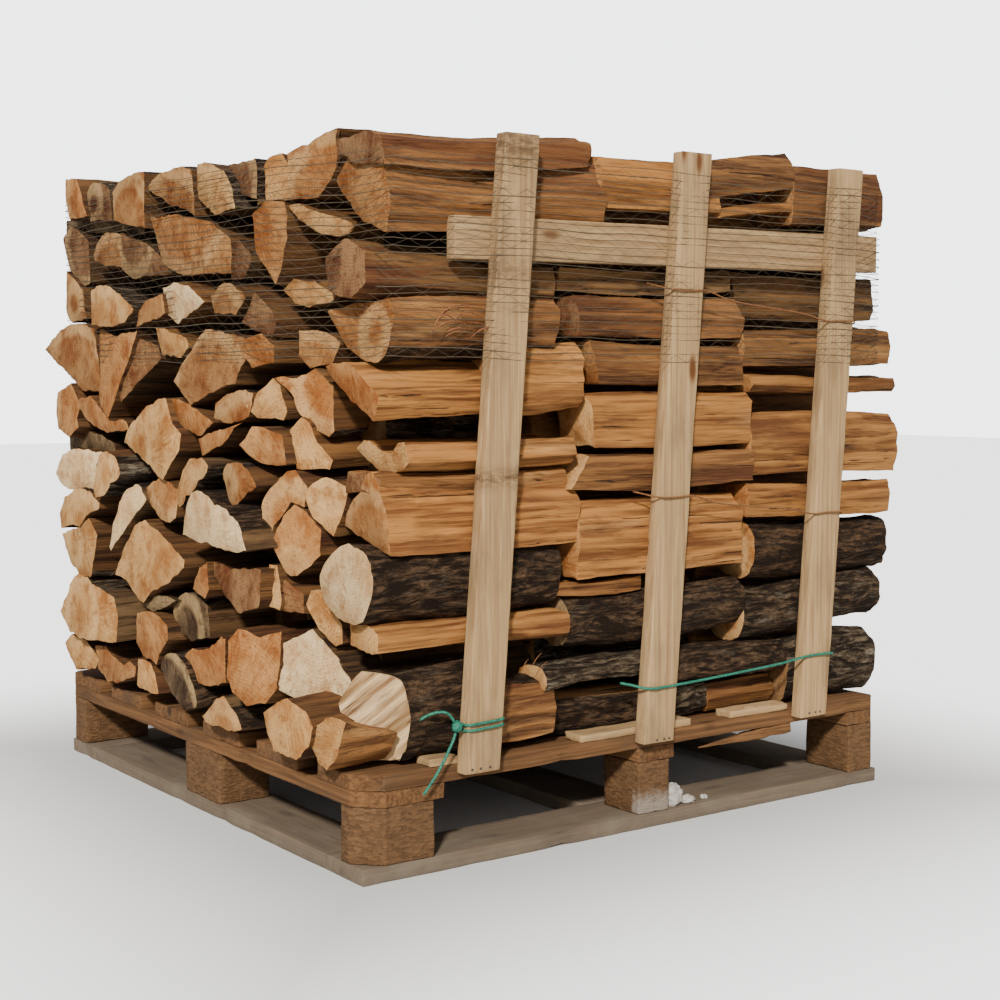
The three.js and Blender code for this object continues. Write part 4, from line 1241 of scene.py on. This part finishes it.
def worn_copy(node, axis, colour, slot, step, edge, rough, ragged=0.0):
    """A CAD board with its edges broken, cut across every step and roughened."""
    low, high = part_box(node)
    bm = bmesh.new()
    bm.from_mesh(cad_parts[node].data)
    bmesh.ops.remove_doubles(bm, verts=bm.verts, dist=1e-5)
    bmesh.ops.dissolve_limit(bm, angle_limit=0.01, verts=bm.verts, edges=bm.edges)
    bmesh.ops.bevel(bm, geom=bm.edges[:], offset=edge, segments=2, profile=0.5, affect="EDGES", material=-1)
    for direction in range(3):
        size = high[direction] - low[direction]
        pace = step if direction == axis else step * 0.55
        count = int(size / pace)
        plane = Vector((0.0, 0.0, 0.0))
        plane[direction] = 1.0
        for index in range(1, count):
            place = low.copy()
            place[direction] += size * index / count
            bmesh.ops.bisect_plane(bm, geom=bm.faces[:] + bm.edges[:] + bm.verts[:], plane_co=place,
                                   plane_no=plane)
    stretch = Vector((90.0, 90.0, 90.0))
    stretch[axis] = 14.0
    bm.normal_update()
    moves = []
    for vert in bm.verts:
        here = Vector(a * b for a, b in zip(vert.co, stretch))
        push = rough * (noise.noise(here) + 0.5 * noise.noise(here * 2.7))
        if ragged and vert.co.z < high.z - edge * 0.5:
            chip = noise.noise(Vector((vert.co.x * 26.0, vert.co.y * 26.0, 4.0)))
            push -= ragged * max(0.0, chip - 0.15) * 2.0
        moves.append(vert.normal * push)
    for vert, move in zip(bm.verts, moves):
        vert.co += move
    made = finished(node + "_worn", bm, [colour], smooth=math.radians(35))
    return ridden(made, slot, node)


def pallet():
    for place, axis in (("front", 0), ("back", 0), ("left", 1), ("middle", 1), ("right", 1)):
        worn_copy(f"base_board_{place}", axis, BASE_WOOD["xy"[axis]], "base_wood", 0.03, 0.0016, 0.0011,
                  0.004)
    for number in range(1, 7):
        worn_copy(f"deck_board_{number}", 0, DECK_WOOD["x"], "deck_wood", 0.03, 0.0014, 0.0010, 0.003)
    for place in ("left", "middle", "right"):
        worn_copy(f"stringer_{place}", 1, DECK_WOOD["y"], "deck_wood", 0.03, 0.0014, 0.0010, 0.003)
    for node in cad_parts:
        if node.startswith("block_"):
            block = worn_copy(node, 2, CHIPS, "chipboard", 0.016, 0.0022, 0.0016, 0.0)
            dust_field(block)


def dust_field(block):
    """How much cement dust lies on a block: all of the front middle one's lower half, little elsewhere."""
    low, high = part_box("block_front_middle")
    values = []
    for vert in block.data.vertices:
        x, y, z = vert.co
        inside = low.x - 0.01 < x < high.x + 0.01 and y < low.y + 0.01
        amount = 0.9 - (z - low.z) / (high.z - low.z) * 1.1 if inside else 0.25 - (z - low.z) * 4.0
        values.append(amount)
    block.data.attributes.new("dust", "FLOAT", "POINT").data.foreach_set("value", values)


def band_field(batten):
    """Dark marks across the first batten: old strap lines, a scorched patch and a weathered top."""
    marks = ((0.535, 0.013, 0.75), (0.765, 0.006, 0.4), (0.815, 0.020, 0.5), (0.985, 0.030, 0.8))
    values = []
    for vert in batten.data.vertices:
        height = vert.co.z
        values.append(max(depth * max(0.0, 1.0 - abs(height - middle) / (half * 1.6))
                          for middle, half, depth in marks))
    batten.data.attributes.new("bands", "FLOAT", "POINT").data.foreach_set("value", values)


def timber():
    band_field(worn_copy("batten_front_1", 2, BANDED, "batten_wood", 0.008, 0.0014, 0.0006))
    for node in ("batten_front_2", "batten_front_3", "batten_back_1", "batten_back_2", "batten_back_3"):
        worn_copy(node, 2, BATTEN_WOOD["z"], "batten_wood", 0.03, 0.0014, 0.0006)
    for side in ("front", "back"):
        worn_copy(f"rail_{side}", 0, BATTEN_WOOD["x"], "batten_wood", 0.03, 0.0012, 0.0006)
    for number in (1, 2, 3):
        worn_copy(f"lath_{number}", 0, BATTEN_WOOD["x"], "batten_wood", 0.008, 0.0016, 0.0016, 0.0)


# ---------------------------------------------------------------- net band

NET_ROWS = 27
NET_CELL = 0.021                           # width of a mesh of the net along the stack
THREAD = 0.0006                            # half the thickness of a thread


def net_corners(height):
    """The corners of the net's path in plan: round the log ends and the outer battens."""
    low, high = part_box("net_band")
    lean = lean_at(height)
    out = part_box("batten_front_1")[0].y - 0.0012
    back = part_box("batten_back_1")[1].y + 0.0012
    right = high.x - (0.009 if height < 0.905 else 0.016)
    left_batten = BATTEN_X[1] - BATTEN_HALF + lean
    right_batten = BATTEN_X[3] + BATTEN_HALF + lean
    return [Vector(corner) for corner in (
        (low.x, CORNER_Y - 0.04), (-0.452, FRONT_Y - 0.001), (left_batten, out), (right_batten, out),
        (right - 0.014, FRONT_Y + 0.002), (right, FRONT_Y + 0.03), (right, -FRONT_Y - 0.008),
        (-BATTEN_X[1] + BATTEN_HALF - lean, back), (-BATTEN_X[3] - BATTEN_HALF - lean, back),
        (-0.495, 0.458), (low.x, 0.438))]


def net():
    """Lengthwise threads with a finer zigzag between them, drawn tight round the upper courses."""
    low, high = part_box("net_band")
    top = high.z - 0.032
    pitch = (top - low.z - 0.008) / (NET_ROWS - 1)
    bm = bmesh.new()
    runs = []
    for row in range(NET_ROWS):
        loop = net_thread(low.z + 0.008 + pitch * row, lambda step: 0.0)
        runs.append((loop, [1.2 if row % 4 == 1 else 0.8] * len(loop)))
    for row in range(NET_ROWS - 1):
        loop = net_thread(low.z + 0.008 + pitch * row, lambda step: pitch * ((step + row) % 2))
        runs.append((loop, [0.42] * len(loop)))
    swept(bm, runs, THREAD)
    piece = finished("net_band_threads", bm, [NET], smooth=math.radians(180))
    ridden(piece, "net_thread", "net_band")


def net_thread(height, lift):
    """Points of one thread all round the stack; lift(step) raises every step by its own amount."""
    corners = net_corners(height)
    points = []
    step = 0
    for corner, ahead in zip(corners, corners[1:] + corners[:1]):
        count = max(1, round((ahead - corner).length / NET_CELL))
        for index in range(count):
            flat = corner.lerp(ahead, index / count)
            along_it = flat.x - flat.y
            sway = noise.noise(Vector((along_it * 9.0, height * 30.0, 1.0)))
            sag = noise.noise(Vector((along_it * 2.2, height * 5.0, 7.0)))
            inward = Vector((-flat.x, -flat.y)).normalized() * (0.001 + 0.002 * abs(sway))
            points.append(Vector((flat.x + inward.x, flat.y + inward.y,
                                  height + lift(step) + 0.007 * sag + 0.0045 * sway)))
            step += 1
    return points


# ---------------------------------------------------------------- small things

def nails():
    """Nail heads in the feet of the front battens."""
    feet = ((1, (-0.018, -0.004, 0.012), 0.0065), (2, (-0.004, 0.010, 0.020), 0.0045),
            (3, (-0.010, 0.004, 0.014), 0.0065))
    for number, across, above in feet:
        low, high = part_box(f"batten_front_{number}")
        centre = low.x + BATTEN_HALF
        bm = bmesh.new()
        for step in across:
            place = Matrix.Translation((centre + step, low.y - 0.0003, low.z + above))
            turn = Matrix.Rotation(math.pi / 2, 4, "X")
            bmesh.ops.create_cone(bm, cap_ends=True, segments=14, radius1=0.0021, radius2=0.0017,
                                  depth=0.0014, matrix=place @ turn)
        ridden(finished(f"batten_nails_{number}", bm, [STEEL]), "batten_wood")


def lump(bm, centre, size, seed):
    """A rough lump: a ball pushed in and out and drawn to a size."""
    grown = bmesh.ops.create_icosphere(bm, subdivisions=4, radius=1.0)["verts"]
    for vert in grown:
        way = vert.co.copy()
        vert.co = way * (1.0 + 0.35 * noise.noise(way * 1.7 + Vector((seed, 0.0, 0.0)))
                         + 0.18 * noise.noise(way * 5.0 + Vector((0.0, seed, 0.0))))
    bmesh.ops.scale(bm, vec=size, verts=grown)
    bmesh.ops.translate(bm, vec=centre, verts=grown)


def mortar():
    """A lump of dried mortar and its crumbs on the front ground board."""
    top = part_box("base_board_front")[1].z
    bm = bmesh.new()
    lump(bm, Vector((0.060, -0.480, top + 0.014)), Vector((0.022, 0.014, 0.017)), 3.0)
    lump(bm, Vector((0.088, -0.486, top + 0.005)), Vector((0.013, 0.009, 0.007)), 8.0)
    lump(bm, Vector((0.125, -0.484, top + 0.003)), Vector((0.006, 0.005, 0.004)), 5.0)
    ridden(finished("mortar_lump", bm, [MORTAR], smooth=math.radians(60)), "base_wood")


def splinter(name, start, stop, wide, thick, colour, slot, split=0.5, seed=1.0):
    """A long chip of wood: a board cut to a point at its start and roughened."""
    bm = bmesh.new()
    bmesh.ops.create_cube(bm, size=1.0)
    along_x = [edge for edge in bm.edges if abs(edge.verts[0].co.x - edge.verts[1].co.x) > 0.5]
    bmesh.ops.subdivide_edges(bm, edges=along_x, cuts=24, use_grid_fill=True)
    bmesh.ops.bevel(bm, geom=[e for e in bm.edges if abs(e.verts[0].co.x - e.verts[1].co.x) > 0.01],
                    offset=0.12, segments=1, profile=0.5, affect="EDGES", material=-1)
    length = (stop - start).length
    for vert in bm.verts:
        t = vert.co.x + 0.5
        taper = min(1.0, 0.08 + t / split)
        ragged = 1.0 + 0.35 * noise.noise(Vector((t * 7.0, seed, vert.co.z * 2.0)))
        vert.co = Vector((t * length, vert.co.y * thick * taper * ragged,
                          vert.co.z * wide * taper * ragged))
    turn = (stop - start).to_track_quat("X", "Z").to_matrix().to_4x4()
    bmesh.ops.transform(bm, matrix=Matrix.Translation(start) @ turn, verts=bm.verts)
    bmesh.ops.recalc_face_normals(bm, faces=bm.faces)
    ridden(finished(name, bm, [colour], smooth=math.radians(30)), slot)


def splinters():
    """Broken bits of board along the pallet's front edge."""
    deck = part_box("deck_board_1")[0].z
    splinter("deck_splinter", Vector((0.105, -0.492, deck - 0.016)), Vector((0.300, -0.492, deck - 0.007)),
             0.017, 0.012, DECK_WOOD["x"], "deck_wood", split=0.75)
    top = DECK_TOP + 0.0022
    splinter("deck_chip_1", Vector((0.305, -0.486, top + 0.001)), Vector((0.205, -0.492, top + 0.006)),
             0.011, 0.006, BATTEN_WOOD["x"], "batten_wood", seed=4.0)
    splinter("deck_chip_2", Vector((0.034, -0.490, top + 0.001)), Vector((0.078, -0.488, top + 0.004)),
             0.008, 0.006, BATTEN_WOOD["x"], "batten_wood", seed=9.0)


def shreds():
    """Torn fibres: curled ones on the upper logs and straw caught in the lower ones."""
    draws = random.Random(7)
    bm = bmesh.new()
    runs = []
    for number in range(9):
        x = draws.uniform(-0.40, -0.33)
        z = draws.uniform(0.722, 0.760)
        reach = draws.uniform(0.03, 0.07)
        rise = draws.uniform(0.008, 0.034)
        y = -0.504 - draws.uniform(0.0, 0.006)
        points = [(x + reach * t - 0.010 * math.sin(math.pi * t), y - 0.006 * math.sin(math.pi * t),
                   z + rise * math.sin(math.pi * 0.8 * t)) for t in (0.0, 0.2, 0.4, 0.6, 0.8, 1.0)]
        runs.append((points, (0.3, 1.0, 1.2, 1.0, 0.8, 0.3)))
    for number in range(3):
        x = draws.uniform(-0.245, -0.205)
        z = draws.uniform(0.235, 0.290)
        away = draws.uniform(-0.02, 0.02)
        points = [(x + away * t, -0.499 - 0.004 * t, z + 0.020 * t + 0.003 * math.sin(3.0 * t))
                  for t in (0.0, 0.25, 0.5, 0.75, 1.0)]
        runs.append((points, (0.2, 0.45, 0.5, 0.4, 0.2)))
    swept(bm, runs, 0.0011, closed=False, kind="NURBS", fineness=1)
    colour = material("torn_fibre", twine_paint(srgb(96, 56, 34), srgb(160, 108, 72)), 0.8, 0.2)
    ridden(finished("torn_fibres", bm, [colour], smooth=math.radians(180)), "firewood")


camera()
twines()
floor()
sun((0.64, 0.66, -0.60), 5.6, 5.0)
soft_panel("fill", (-3.2, -4.6, 2.6), (0.0, 0.0, 0.5), 4.0, 45.0)
surroundings(0.5, 4.0)
firewood()
pallet()
timber()
nails()
mortar()
splinters()
shreds()
net()
